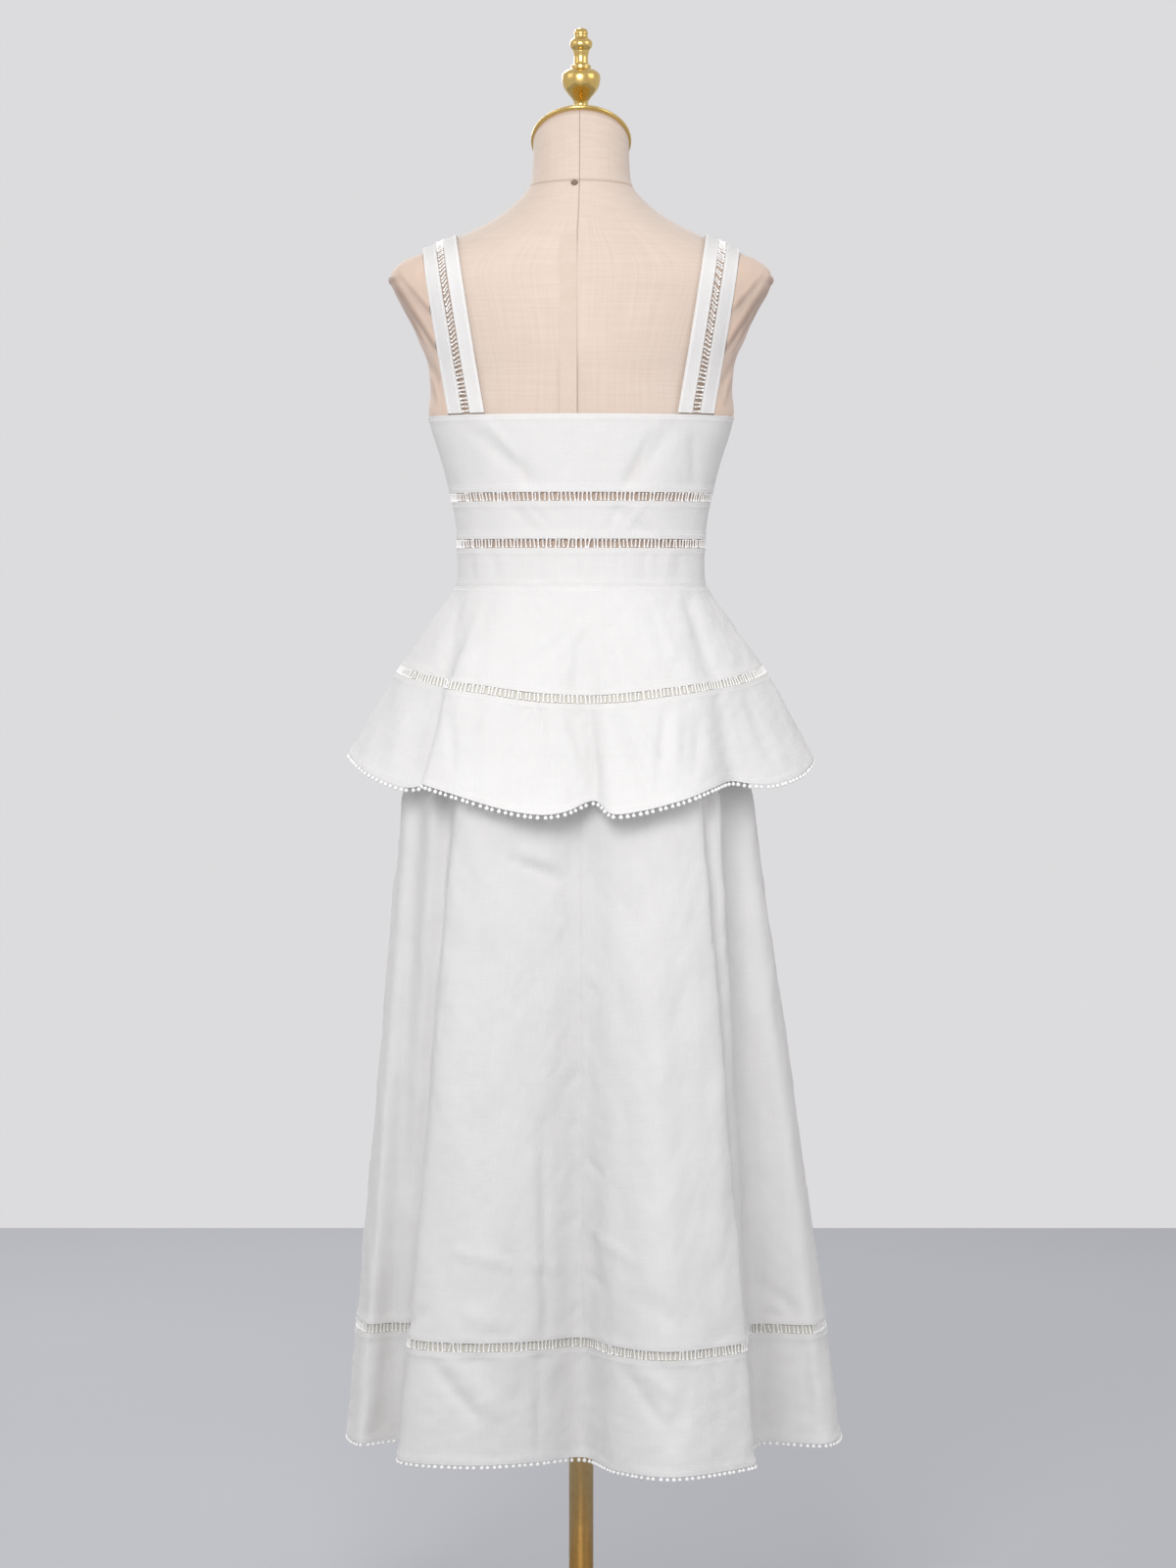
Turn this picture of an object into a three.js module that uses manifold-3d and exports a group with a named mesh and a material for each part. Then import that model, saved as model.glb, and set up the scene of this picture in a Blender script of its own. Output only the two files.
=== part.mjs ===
// A sleeveless button-down midi dress with a peplum, on a linen-covered dress form with a brass stand.
// Millimetres, +Z up. The dress's front faces -Y and its back faces +Y. The origin is on the floor,
// under the middle of the stand. Cloth is walls, each piece 0.3 mm from the next one at its seams.
import * as THREE from "three";
import { mergeVertices } from "three/addons/utils/BufferGeometryUtils.js";
import Module from "manifold-3d";

// ---------------------------------------------------------------- driving dimensions
const CLOTH = 1.5; // thickness of every cloth wall
const SEAM_GAP = 0.3; // between pieces that are sewn together
const HALF_GAP = SEAM_GAP / 2;
const FORM_CLEARANCE = 0.9; // between the form and the cloth that rests on it
const WORN_EASE = FORM_CLEARANCE + CLOTH; // outer face of the snug cloth, out from the form

const WAIST_Z = 1087; // waist seam
const LADDER_HEIGHT = 8.8; // ladder-lace insertion between two pieces of cloth
const LADDER_LOW_Z = 1129.5; // middle of the lower insertion of the bodice
const LADDER_HIGH_Z = 1176; // middle of the upper one
const BACK_TOP_Z = 1258; // straight top edge of the back
const FRONT_TOP_Z = 1296; // top edge of the front, between the straps
const FRONT_RISE = { from: 96, to: 128 }; // degrees round from centre back over which the edge climbs
const FORM_SLACK = 1.4; // how much slimmer the form is inside the bodice than its table
const WAIST_EASE = 2; // how much looser than snug the waist is
const WAIST_EASE_HEIGHT = 78; // height over which the looser waist fades out

const SKIRT_PLACKET_TOP_Z = 1062; // hidden under the peplum
const HIP_Z = 873; // level of the skirt's first named section
const HEM_Z = 218; // hem of the skirt
const SKIRT_LADDER_Z = 334; // middle of the skirt's insertion
const TRIM_DROP = 4; // how far the beaded trim hangs below a hem
const SKIRT_WAIST_EASE = 2.2; // outer face of the skirt at the waist seam, inside the peplum

const PLACKET_WIDTH = 26;
const PLACKET_THICKNESS = 1.2;
const PLACKET_LIFT = 0.9; // between the placket and the fronts it lies on
const BUTTON_RADIUS = 5.75;
const BUTTON_THICKNESS = 2.4;
const BUTTON_LIFT = 0.5; // between a button's flat back and the placket's curve
const BODICE_BUTTON_Z = [1279, 1235, 1191, 1150, 1105];
const SKIRT_BUTTON_Z = [1010, 905, 805, 705, 605, 505, 405];

const BASE_RADIUS = 165;
const POLE_RADIUS = 12.5;
const FINIAL_TOP_Z = 1652;

// ---------------------------------------------------------------- tables
// The form, from its neck cut down to its underside: half width, depth to the back and to the front,
// and how steeply the level is tilted (back higher than front).
const FORM = [
  { z: 1535, wide: 48.5, back: 48, front: 48, tilt: 0.6 },
  { z: 1512, wide: 49, back: 49, front: 49, tilt: 0.32 },
  { z: 1490, wide: 53, back: 55, front: 52, tilt: 0.06 },
  { z: 1470, wide: 72, back: 64, front: 56, tilt: 0 },
  { z: 1455, wide: 94, back: 71, front: 61, tilt: 0 },
  { z: 1440, wide: 125, back: 78, front: 67, tilt: 0 },
  { z: 1424, wide: 162, back: 84, front: 74, tilt: 0 },
  { z: 1408, wide: 187, back: 90, front: 80, tilt: 0 },
  { z: 1392, wide: 190, back: 94, front: 87, tilt: 0 },
  { z: 1365, wide: 176, back: 99, front: 98, tilt: 0 },
  { z: 1335, wide: 163, back: 102, front: 110, tilt: 0 },
  { z: 1310, wide: 154, back: 103, front: 118, tilt: 0 },
  { z: 1283, wide: 151.5, back: 103, front: 122, tilt: 0 },
  { z: 1258, wide: 153, back: 102, front: 120, tilt: 0 },
  { z: 1210, wide: 139, back: 97, front: 108, tilt: 0 },
  { z: 1165, wide: 128, back: 92, front: 97, tilt: 0 },
  { z: 1125, wide: 123, back: 88, front: 90, tilt: 0 },
  { z: 1087, wide: 122.7, back: 88, front: 87, tilt: 0 },
  { z: 1040, wide: 129, back: 94, front: 89, tilt: 0 },
  { z: 980, wide: 136, back: 100, front: 93, tilt: 0 },
  { z: 920, wide: 140, back: 103, front: 95, tilt: 0 },
  { z: 885, wide: 138, back: 101, front: 93, tilt: 0 },
];

// The skirt's folds, one row each, from centre back round by the +X side to centre back again.
// "turn" is where the fold leaves the waist seam, in degrees from centre back towards +X.
const SKIRT_FOLDS = [
  { fold: "centre back seam", turn: 0, hip: [0, 141], hem: [-2, 128] },
  { fold: "back panel, inner swell", turn: 12, hip: [33, 147], hem: [50, 152] },
  { fold: "back panel, outer swell", turn: 27, hip: [76, 150], hem: [112, 168] },
  { fold: "back panel edge", turn: 42, hip: [121, 136], hem: [181, 138] },
  { fold: "deep fold", turn: 52, hip: [129, 95], hem: [172, 40] },
  { fold: "tongue", turn: 60, hip: [149, 90], hem: [188, 30] },
  { fold: "second fold", turn: 69, hip: [162, 58], hem: [200, 36] },
  { fold: "side swell", turn: 79, hip: [177, 42], hem: [226, 50] },
  { fold: "side seam", turn: 90, hip: [182, -4], hem: [241, -6] },
  { fold: "front side swell", turn: 104, hip: [170, -52], hem: [222, -62] },
  { fold: "front fold", turn: 119, hip: [143, -78], hem: [176, -88] },
  { fold: "front panel edge", turn: 134, hip: [122, -122], hem: [158, -160] },
  { fold: "front hollow", turn: 148, hip: [80, -128], hem: [100, -140] },
  { fold: "front swell", turn: 164, hip: [40, -146], hem: [50, -186] },
  { fold: "centre front", turn: 180, hip: [0, -148], hem: [0, -187] },
  { fold: "front swell", turn: 196, hip: [-40, -146], hem: [-50, -188] },
  { fold: "front hollow", turn: 211, hip: [-79, -130], hem: [-104, -142] },
  { fold: "front panel edge", turn: 226, hip: [-118, -124], hem: [-170, -152] },
  { fold: "front fold", turn: 241, hip: [-141, -80], hem: [-190, -84] },
  { fold: "front side swell", turn: 256, hip: [-166, -50], hem: [-246, -66] },
  { fold: "side seam", turn: 270, hip: [-175, -4], hem: [-267, -8] },
  { fold: "side swell", turn: 282, hip: [-168, 44], hem: [-248, 56] },
  { fold: "deep fold", turn: 294, hip: [-141, 66], hem: [-183, 44] },
  { fold: "strip edge", turn: 304, hip: [-138, 108], hem: [-172, 112] },
  { fold: "strip", turn: 312, hip: [-122, 118], hem: [-171, 140] },
  { fold: "back panel edge", turn: 320, hip: [-116, 140], hem: [-167, 172] },
  { fold: "back panel, outer swell", turn: 334, hip: [-72, 152], hem: [-92, 226] },
  { fold: "back panel, inner swell", turn: 348, hip: [-34, 150], hem: [-36, 192] },
];

// The peplum's folds, from its edge at centre front round the back to its other edge. "turn" as above,
// then the middle of its insertion and its hem, each as [x, y, z].
const PEPLUM_FOLDS = [
  { fold: "front edge", turn: -179.4, insertion: [-7, -133, 981], hem: [-15, -172, 878] },
  { fold: "front swell", turn: -163, insertion: [-44, -136, 978], hem: [-58, -186, 872] },
  { fold: "front hollow", turn: -147, insertion: [-84, -114, 984], hem: [-100, -150, 882] },
  { fold: "front panel edge", turn: -133, insertion: [-117, -102, 986], hem: [-152, -146, 884] },
  { fold: "front fold", turn: -119, insertion: [-146, -72, 992], hem: [-182, -98, 893] },
  { fold: "front side swell", turn: -104, insertion: [-176, -42, 999], hem: [-226, -58, 905] },
  { fold: "side", turn: -90, insertion: [-187, 0, 1003], hem: [-237, 0, 912] },
  { fold: "side swell", turn: -79, insertion: [-179, 34, 999], hem: [-224, 48, 899] },
  { fold: "flat", turn: -68, insertion: [-160, 66, 993], hem: [-196, 86, 890] },
  { fold: "fold lip", turn: -60, insertion: [-146, 82, 990], hem: [-170, 103, 890] },
  { fold: "fold", turn: -52, insertion: [-134, 93, 988], hem: [-149, 113, 893] },
  { fold: "panel edge", turn: -43, insertion: [-114, 114, 985], hem: [-131, 149, 888] },
  { fold: "back swell", turn: -32, insertion: [-82, 129, 981], hem: [-103, 176, 878] },
  { fold: "back swell", turn: -21, insertion: [-50, 137, 977], hem: [-64, 187, 868] },
  { fold: "centre swell", turn: -10, insertion: [-25, 136, 975], hem: [-31, 187, 864] },
  { fold: "centre back fold", turn: -1, insertion: [-8, 129, 974], hem: [-13, 167, 876] },
  { fold: "centre swell", turn: 8, insertion: [12, 134, 975], hem: [15, 181, 866] },
  { fold: "back swell", turn: 17, insertion: [35, 137, 976], hem: [42, 184, 863] },
  { fold: "back swell", turn: 27, insertion: [64, 134, 979], hem: [80, 178, 869] },
  { fold: "back swell", turn: 36, insertion: [96, 124, 984], hem: [119, 164, 880] },
  { fold: "panel edge", turn: 45, insertion: [131, 106, 988], hem: [157, 136, 891] },
  { fold: "fold", turn: 53, insertion: [136, 85, 990], hem: [151, 103, 890] },
  { fold: "fold lip", turn: 61, insertion: [150, 73, 993], hem: [177, 92, 886] },
  { fold: "side swell", turn: 75, insertion: [174, 44, 999], hem: [215, 60, 900] },
  { fold: "side", turn: 90, insertion: [186, 2, 1003], hem: [237, 4, 917] },
  { fold: "front side swell", turn: 104, insertion: [174, -44, 999], hem: [222, -62, 907] },
  { fold: "front fold", turn: 119, insertion: [145, -74, 992], hem: [184, -96, 893] },
  { fold: "front panel edge", turn: 133, insertion: [117, -104, 986], hem: [150, -150, 882] },
  { fold: "front hollow", turn: 147, insertion: [84, -115, 984], hem: [98, -152, 880] },
  { fold: "front swell", turn: 163, insertion: [44, -137, 978], hem: [56, -188, 871] },
  { fold: "front edge", turn: 179.4, insertion: [7, -133, 981], hem: [15, -174, 877] },
];

// Each shoulder strap runs from the back's top edge over the shoulder to the front's top edge.
const STRAP_LIFT = 1.1; // straps bridge the form's small hollows
const STRAP = {
  pivotZ: 1300, // rays that wrap it over the shoulder start on this level
  topZ: 1438,
  backInner: 95,
  backOuter: 131,
  topInner: 125,
  topOuter: 161,
  frontInner: 84,
  frontOuter: 120,
};
// Its three pieces, as shares of its width from the neck side to the arm side.
const STRAP_PIECES = [
  { piece: "inner_tape", from: 0, to: 0.39 },
  { piece: "ladder", from: 0.4, to: 0.6 },
  { piece: "outer_tape", from: 0.61, to: 1 },
];

// Half of each turned piece's outline, from the bottom up: radius, height.
const BASE_PROFILE = [
  [0, 0], [BASE_RADIUS - 3, 0], [BASE_RADIUS, 3], [BASE_RADIUS, 9], [BASE_RADIUS - 4, 13],
  [BASE_RADIUS - 30, 17], [90, 21], [40, 24], [0, 24],
];
const COLLAR_PROFILE = [
  [0, 24.3], [30, 24.3], [32, 27], [31, 32], [22, 37], [18, 44], [17, 56], [19, 58], [19, 63], [16, 66], [0, 66],
];
const UNDERSIDE_PROFILE = [
  [0, 862], [22, 862], [24, 864], [24, 874], [70, 875], [72, 877], [72, 883], [70, 884.7], [0, 884.7],
];
const CAP_PROFILE = [
  [0, 0], [1, 0], [1.035, 0.8], [1.05, 2.4], [1.035, 4], [0.94, 5.2], [0.3, 11], [0, 12],
]; // radius as a share of the neck's, height in mm
const CAP_BOSS_PROFILE = [
  [0, 1541.5], [9, 1541.5], [9, 1553], [11, 1554.5], [11, 1556.7], [0, 1556.7],
]; // the level seat of the finial, rising from the slanted cap
const FINIAL_PROFILE = [
  [0, 1557], [9.5, 1557], [10.5, 1559], [9, 1563], [11, 1568], [9, 1571], [7, 1573],
  [7.5, 1577], [10, 1581], [13.5, 1585], [17, 1590], [18.8, 1595], [19.6, 1601], [18.5, 1605.5], [14, 1609],
  [10, 1610.5], [10, 1613.5], [7.5, 1615], [7, 1622], [8, 1627], [8.5, 1629], [10.8, 1632], [11.5, 1635.5],
  [10.5, 1638.5], [7.5, 1641], [6.6, 1643.5], [7, 1646.5], [5.5, 1650], [0, FINIAL_TOP_Z],
];

// ---------------------------------------------------------------- finishes
const finish = (color, roughness, metalness = 0) => () =>
  new THREE.MeshStandardMaterial({ color, roughness, metalness });
const ramie = finish(0xf4f2f0, 0.9);
const lace = finish(0xe9e2da, 0.9);
const beads = finish(0xffffff, 0.7);
const shell = finish(0xf7f2ea, 0.35);
const linen = finish(0xe6d3c0, 0.95);
const sheer = finish(0xb9a190, 0.95);
const brass = finish(0xc19a3c, 0.3, 1);

// ---------------------------------------------------------------- small maths
const radians = THREE.MathUtils.degToRad;
const mix = THREE.MathUtils.lerp;
const clamp01 = (x) => Math.min(1, Math.max(0, x));
const smooth = (x) => clamp01(x) ** 2 * (3 - 2 * clamp01(x));

// A cubic through four values, from b at f = 0 to c at f = 1.
function throughFour(a, b, c, d, f) {
  const slope0 = (c - a) / 2;
  const slope1 = (d - b) / 2;
  const rise = c - b;
  return b + f * (slope0 + f * (3 * rise - 2 * slope0 - slope1 + f * (slope0 + slope1 - 2 * rise)));
}

// The form's column `key` at height z, smooth from row to row.
function formSize(key, z) {
  const last = FORM.length - 1;
  let i = FORM.findIndex((row, k) => k < last && z >= FORM[k + 1].z);
  if (i < 0) i = last - 1;
  const f = clamp01((FORM[i].z - z) / (FORM[i].z - FORM[i + 1].z));
  const height = FORM[i].z - FORM[i + 1].z;
  // Slopes are measured in mm of height, because the rows are unevenly spaced.
  const slopeAt = (k) => {
    const up = Math.max(k - 1, 0);
    const down = Math.min(k + 1, last);
    return (FORM[down][key] - FORM[up][key]) / (FORM[up].z - FORM[down].z);
  };
  const s0 = slopeAt(i) * height;
  const s1 = slopeAt(i + 1) * height;
  const rise = FORM[i + 1][key] - FORM[i][key];
  return FORM[i][key] + f * (s0 + f * (3 * rise - 2 * s0 - s1 + f * (s0 + s1 - 2 * rise)));
}

// A point `out` mm outside the form, `turn` degrees round from centre back towards +X.
function aroundForm(turn, z, out) {
  const a = radians(turn);
  const depth = Math.cos(a) > 0 ? formSize("back", z) : formSize("front", z);
  const y = (depth + out) * Math.cos(a);
  return new THREE.Vector3((formSize("wide", z) + out) * Math.sin(a), y, z + formSize("tilt", z) * y);
}

// ---------------------------------------------------------------- cloth surfaces
// Every surface takes a place across and a place down, and gives a point of the piece's outer face.
const bodiceEase = (z) => WORN_EASE + WAIST_EASE * smooth((WAIST_Z + WAIST_EASE_HEIGHT - z) / WAIST_EASE_HEIGHT);
const bodice = (turn, z) => aroundForm(turn, z, bodiceEase(z));

// The bodice's top edge: level across the back, climbing at the sides to the front.
function topEdge(turn) {
  const away = Math.abs(turn > 180 ? turn - 360 : turn);
  return mix(BACK_TOP_Z, FRONT_TOP_Z, smooth((away - FRONT_RISE.from) / (FRONT_RISE.to - FRONT_RISE.from)));
}

// The row that a place across comes after; a closed section also has the stretch after its last row.
function intervalAt(rows, across, closed) {
  const last = closed ? rows.length - 1 : rows.length - 2;
  return Math.min(Math.max(Math.floor(across), 0), last);
}

// A point between two fold rows of a round section; `across` counts rows.
function alongFolds(rows, across, columnOf, closed) {
  const count = rows.length;
  const i = intervalAt(rows, across, closed);
  const f = across - i;
  const row = (k) => columnOf(rows[closed ? (k + count) % count : Math.min(Math.max(k, 0), count - 1)]);
  const [a, b, c, d] = [row(i - 1), row(i), row(i + 1), row(i + 2)];
  return b.map((_, n) => throughFour(a[n], b[n], c[n], d[n], f));
}

// Where the cloth at a place across leaves the waist seam, in degrees.
function turnAt(rows, across, closed) {
  const i = intervalAt(rows, across, closed);
  const next = i + 1 < rows.length ? rows[i + 1].turn : rows[0].turn + 360;
  return mix(rows[i].turn, next, across - i);
}

// The skirt: from the waist seam to the hip section and on to the hem.
function skirt(across, z) {
  const round = ((across % SKIRT_FOLDS.length) + SKIRT_FOLDS.length) % SKIRT_FOLDS.length;
  const hip = alongFolds(SKIRT_FOLDS, round, (row) => row.hip, true);
  if (z < HIP_Z) {
    const hem = alongFolds(SKIRT_FOLDS, round, (row) => row.hem, true);
    const f = (HIP_Z - z) / (HIP_Z - HEM_Z);
    return new THREE.Vector3(mix(hip[0], hem[0], f), mix(hip[1], hem[1], f), z);
  }
  const waist = aroundForm(turnAt(SKIRT_FOLDS, round, true), WAIST_Z, SKIRT_WAIST_EASE);
  const f = (WAIST_Z - z) / (WAIST_Z - HIP_Z);
  return new THREE.Vector3(mix(waist.x, hip[0], f), mix(waist.y, hip[1], f), z);
}

// The peplum: `down` is 0 at the waist seam, 1 in the middle of its insertion and 2 at its hem.
function peplum(across, down) {
  const turn = turnAt(PEPLUM_FOLDS, across, false);
  const waist = aroundForm(turn, WAIST_Z, bodiceEase(WAIST_Z)).toArray();
  const middle = alongFolds(PEPLUM_FOLDS, across, (row) => row.insertion, false);
  const hem = alongFolds(PEPLUM_FOLDS, across, (row) => row.hem, false);
  const [from, to, f] = down < 1 ? [waist, middle, down] : [middle, hem, down - 1];
  return new THREE.Vector3(...from.map((v, n) => mix(v, to[n], f)));
}

// A strap, wrapped over the form: `share` runs across it and `along` from the back to the front.
function strapSide(share, z, front) {
  const level = front ? FRONT_TOP_Z : BACK_TOP_Z;
  const rise = clamp01((z - level) / (STRAP.topZ - level));
  const low = front
    ? mix(STRAP.frontInner, STRAP.frontOuter, share)
    : mix(STRAP.backInner, STRAP.backOuter, share);
  return mix(low, mix(STRAP.topInner, STRAP.topOuter, share), rise);
}

function strap(side, share, along) {
  const startZ = (front) => (front ? FRONT_TOP_Z : BACK_TOP_Z) + SEAM_GAP;
  const startAngle = (front) => {
    const z = startZ(front);
    const x = strapSide(share, z, front);
    const depth = formSize(front ? "front" : "back", z);
    const y = depth * Math.sqrt(1 - (x / formSize("wide", z)) ** 2);
    return Math.atan2(z - STRAP.pivotZ, front ? -y : y);
  };
  const end = startAngle(true);
  const angle = mix(startAngle(false), end < 0 ? end + 2 * Math.PI : end, along);
  const pointAt = (reach) => {
    const y = reach * Math.cos(angle);
    const z = STRAP.pivotZ + reach * Math.sin(angle);
    return [strapSide(share, z, y < 0), y, z];
  };
  const isInside = ([x, y, z]) => {
    const wide = formSize("wide", z);
    const depth = formSize(y < 0 ? "front" : "back", z);
    return z < FORM[0].z && (x / wide) ** 2 + (y / depth) ** 2 < 1;
  };
  let near = 20;
  let far = 220;
  for (let step = 0; step < 40; step++) {
    const half = (near + far) / 2;
    if (isInside(pointAt(half))) near = half;
    else far = half;
  }
  const [x, y, z] = pointAt(near);
  return new THREE.Vector3(side * x, y, z);
}

// The places across a surface whose x is `x`, between two other places either side of it.
function acrossAt(surface, x, down, low, high) {
  const climbs = surface(high, down).x > surface(low, down).x;
  for (let step = 0; step < 30; step++) {
    const half = (low + high) / 2;
    if (surface(half, down).x < x === climbs) low = half;
    else high = half;
  }
  return (low + high) / 2;
}

// ---------------------------------------------------------------- solids from surfaces
// The way out of a surface whose `across` runs from +Y towards +X and whose `down` runs down.
function wayOut(surface, across, down, stepAcross, stepDown) {
  const along = surface(across + stepAcross, down).sub(surface(across - stepAcross, down));
  const below = surface(across, down + stepDown).sub(surface(across, down - stepDown));
  return along.cross(below).normalize();
}

function mesh(name, position, faces, material) {
  const geometry = new THREE.BufferGeometry();
  geometry.setAttribute("position", new THREE.Float32BufferAttribute(position, 3));
  geometry.setIndex(faces);
  geometry.computeVertexNormals();
  const made = new THREE.Mesh(geometry, material());
  made.name = name;
  return made;
}

// A closed wall whose outer face is `outer(i, j)` and inner face `inner(i, j)`, for i in 0..columns
// and j in 0..rows. `mirrored` splits its quads along their other diagonal.
function closedWall(name, outer, inner, columns, rows, material, mirrored) {
  const position = [];
  const stride = columns + 1;
  for (const face of [outer, inner])
    for (let j = 0; j <= rows; j++) for (let i = 0; i < stride; i++) position.push(...face(i, j).toArray());
  const layer = stride * (rows + 1);
  const at = (side, i, j) => side * layer + j * stride + i;
  const faces = [];
  const quad = (a, b, c, d) => {
    if (mirrored) faces.push(a, d, b, d, c, b);
    else faces.push(a, c, b, a, d, c);
  };
  for (let i = 0; i < columns; i++) {
    for (let j = 0; j < rows; j++) {
      quad(at(0, i, j), at(0, i, j + 1), at(0, i + 1, j + 1), at(0, i + 1, j));
      quad(at(1, i, j), at(1, i + 1, j), at(1, i + 1, j + 1), at(1, i, j + 1));
    }
    quad(at(0, i, 0), at(0, i + 1, 0), at(1, i + 1, 0), at(1, i, 0));
    quad(at(0, i, rows), at(1, i, rows), at(1, i + 1, rows), at(0, i + 1, rows));
  }
  for (let j = 0; j < rows; j++) {
    quad(at(0, 0, j), at(1, 0, j), at(1, 0, j + 1), at(0, 0, j + 1));
    quad(at(0, columns, j), at(0, columns, j + 1), at(1, columns, j + 1), at(1, columns, j));
  }
  return mesh(name, position, faces, material);
}

// A piece of cloth cut from a surface. `edges` gives its across and down limits (down as functions of
// across or numbers), and perhaps a `bend`: a place down that its row `rowsAbove` lies on. In `look`, `raised` is how far its outer face lies out from the surface, and
// `steps` are the short steps across and down that find the way out.
function cloth(name, surface, edges, grid, material, look = {}) {
  const { raised = 0, thick = CLOTH, steps, mirrored = false } = look;
  const limit = (edge, across) => (typeof edge === "function" ? edge(across) : edge);
  const downAt = (across, j) => {
    const top = limit(edges.top, across);
    const bottom = limit(edges.bottom, across);
    if (!edges.bend) return mix(top, bottom, j / grid.rows);
    const { at, rowsAbove } = edges.bend;
    if (j <= rowsAbove) return mix(top, at, j / rowsAbove);
    return mix(at, bottom, (j - rowsAbove) / (grid.rows - rowsAbove));
  };
  const face = (offset) => (i, j) => {
    const across = mix(edges.left, edges.right, i / grid.columns);
    const down = downAt(across, j);
    const out = wayOut(surface, across, down, steps[0], steps[1]);
    return surface(across, down).addScaledVector(out, offset);
  };
  return closedWall(name, face(raised), face(raised - thick), grid.columns, grid.rows, material, mirrored);
}

// ---------------------------------------------------------------- the bodice
const BODICE_STEPS = [0.2, -0.5]; // a step down the bodice is a fall in height
const SEAM_TURN = 0.07; // degrees either side of a bodice seam
const halfLadder = LADDER_HEIGHT / 2;

const BODICE_PARTS = [
  { part: "back", left: -90, right: 90, columns: 22 },
  { part: "front_left", left: 90, right: 180, columns: 12 },
  { part: "front_right", left: 180, right: 270, columns: 12 },
];
const BODICE_BANDS = [
  { band: "upper", top: topEdge, bottom: LADDER_HIGH_Z + halfLadder + HALF_GAP, rows: 4 },
  { band: "middle", top: LADDER_HIGH_Z - halfLadder - HALF_GAP, bottom: LADDER_LOW_Z + halfLadder + HALF_GAP, rows: 1 },
  { band: "waistband", top: LADDER_LOW_Z - halfLadder - HALF_GAP, bottom: WAIST_Z + HALF_GAP, rows: 1 },
];
const BODICE_LADDERS = [
  { name: "bodice_ladder_upper", z: LADDER_HIGH_Z },
  { name: "bodice_ladder_lower", z: LADDER_LOW_Z },
];

function bodicePieces() {
  const pieces = BODICE_BANDS.flatMap(({ band, top, bottom, rows }) =>
    BODICE_PARTS.map(({ part, left, right, columns }) =>
      cloth(
        `${part}_${band}`,
        bodice,
        { left: left + SEAM_TURN, right: right - SEAM_TURN, top, bottom },
        { columns, rows },
        ramie,
        { steps: BODICE_STEPS },
      ),
    ),
  );
  const ladders = BODICE_LADDERS.map(({ name, z }) =>
    cloth(
      name,
      bodice,
      {
        left: -180 + SEAM_TURN,
        right: 180 - SEAM_TURN,
        top: z + halfLadder - HALF_GAP,
        bottom: z - halfLadder + HALF_GAP,
      },
      { columns: 46, rows: 1 },
      lace,
      { steps: BODICE_STEPS },
    ),
  );
  return [...pieces, ...ladders];
}

// ---------------------------------------------------------------- the straps
function strapPieces(side, sideName) {
  // Across runs towards +X, so on the -X side it runs from the arm edge to the neck edge.
  const surface = (across, down) => strap(side, across * side, 1 - down);
  return STRAP_PIECES.map(({ piece, from, to }) =>
    cloth(
      `strap_${sideName}_${piece}`,
      surface,
      { left: side > 0 ? from : -to, right: side > 0 ? to : -from, top: 0.004, bottom: 0.996 },
      { columns: piece === "ladder" ? 1 : 2, rows: 24 },
      piece === "ladder" ? lace : ramie,
      { raised: WORN_EASE + STRAP_LIFT, steps: [0.1, 0.002], mirrored: side > 0 },
    ),
  );
}

// ---------------------------------------------------------------- the peplum
const PEPLUM_LAST = PEPLUM_FOLDS.length - 1;
const PEPLUM_SEAM_LEFT = PEPLUM_FOLDS.findIndex((row) => row.turn === 90);
const PEPLUM_SEAM_RIGHT = PEPLUM_FOLDS.findIndex((row) => row.turn === -90);
const TIER_HEIGHT = 110; // about how long each tier is down its slope
const peplumMm = (mm) => mm / TIER_HEIGHT;
const SEAM_ACROSS = 0.005; // share of a fold row either side of a seam
const PEPLUM_COLUMNS_PER_FOLD = 2;

const PEPLUM_PARTS = [
  { part: "front_right", left: 0, right: PEPLUM_SEAM_RIGHT },
  { part: "back", left: PEPLUM_SEAM_RIGHT, right: PEPLUM_SEAM_LEFT },
  { part: "front_left", left: PEPLUM_SEAM_LEFT, right: PEPLUM_LAST },
];
const PEPLUM_TIERS = [
  { tier: "upper", top: peplumMm(HALF_GAP), bottom: 1 - peplumMm(halfLadder), rows: 2 },
  { tier: "lower", top: 1 + peplumMm(halfLadder), bottom: 2, rows: 2 },
];

function peplumPieces() {
  const tiers = PEPLUM_TIERS.flatMap(({ tier, top, bottom, rows }) =>
    PEPLUM_PARTS.map(({ part, left, right }) =>
      cloth(
        `peplum_${part}_${tier}`,
        peplum,
        { left: left + SEAM_ACROSS, right: right - SEAM_ACROSS, top, bottom },
        { columns: (right - left) * PEPLUM_COLUMNS_PER_FOLD, rows },
        ramie,
        { steps: [0.02, 0.01] },
      ),
    ),
  );
  const around = { left: SEAM_ACROSS, right: PEPLUM_LAST - SEAM_ACROSS };
  const grid = { columns: PEPLUM_LAST * PEPLUM_COLUMNS_PER_FOLD, rows: 1 };
  const inset = peplumMm(halfLadder - SEAM_GAP);
  return [
    ...tiers,
    cloth("peplum_ladder", peplum, { ...around, top: 1 - inset, bottom: 1 + inset }, grid, lace, {
      steps: [0.02, 0.01],
    }),
    cloth("peplum_bead_trim", peplum, { ...around, top: 2 + peplumMm(SEAM_GAP), bottom: 2 + peplumMm(TRIM_DROP) }, grid, beads, {
      steps: [0.02, 0.01],
    }),
  ];
}

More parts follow.
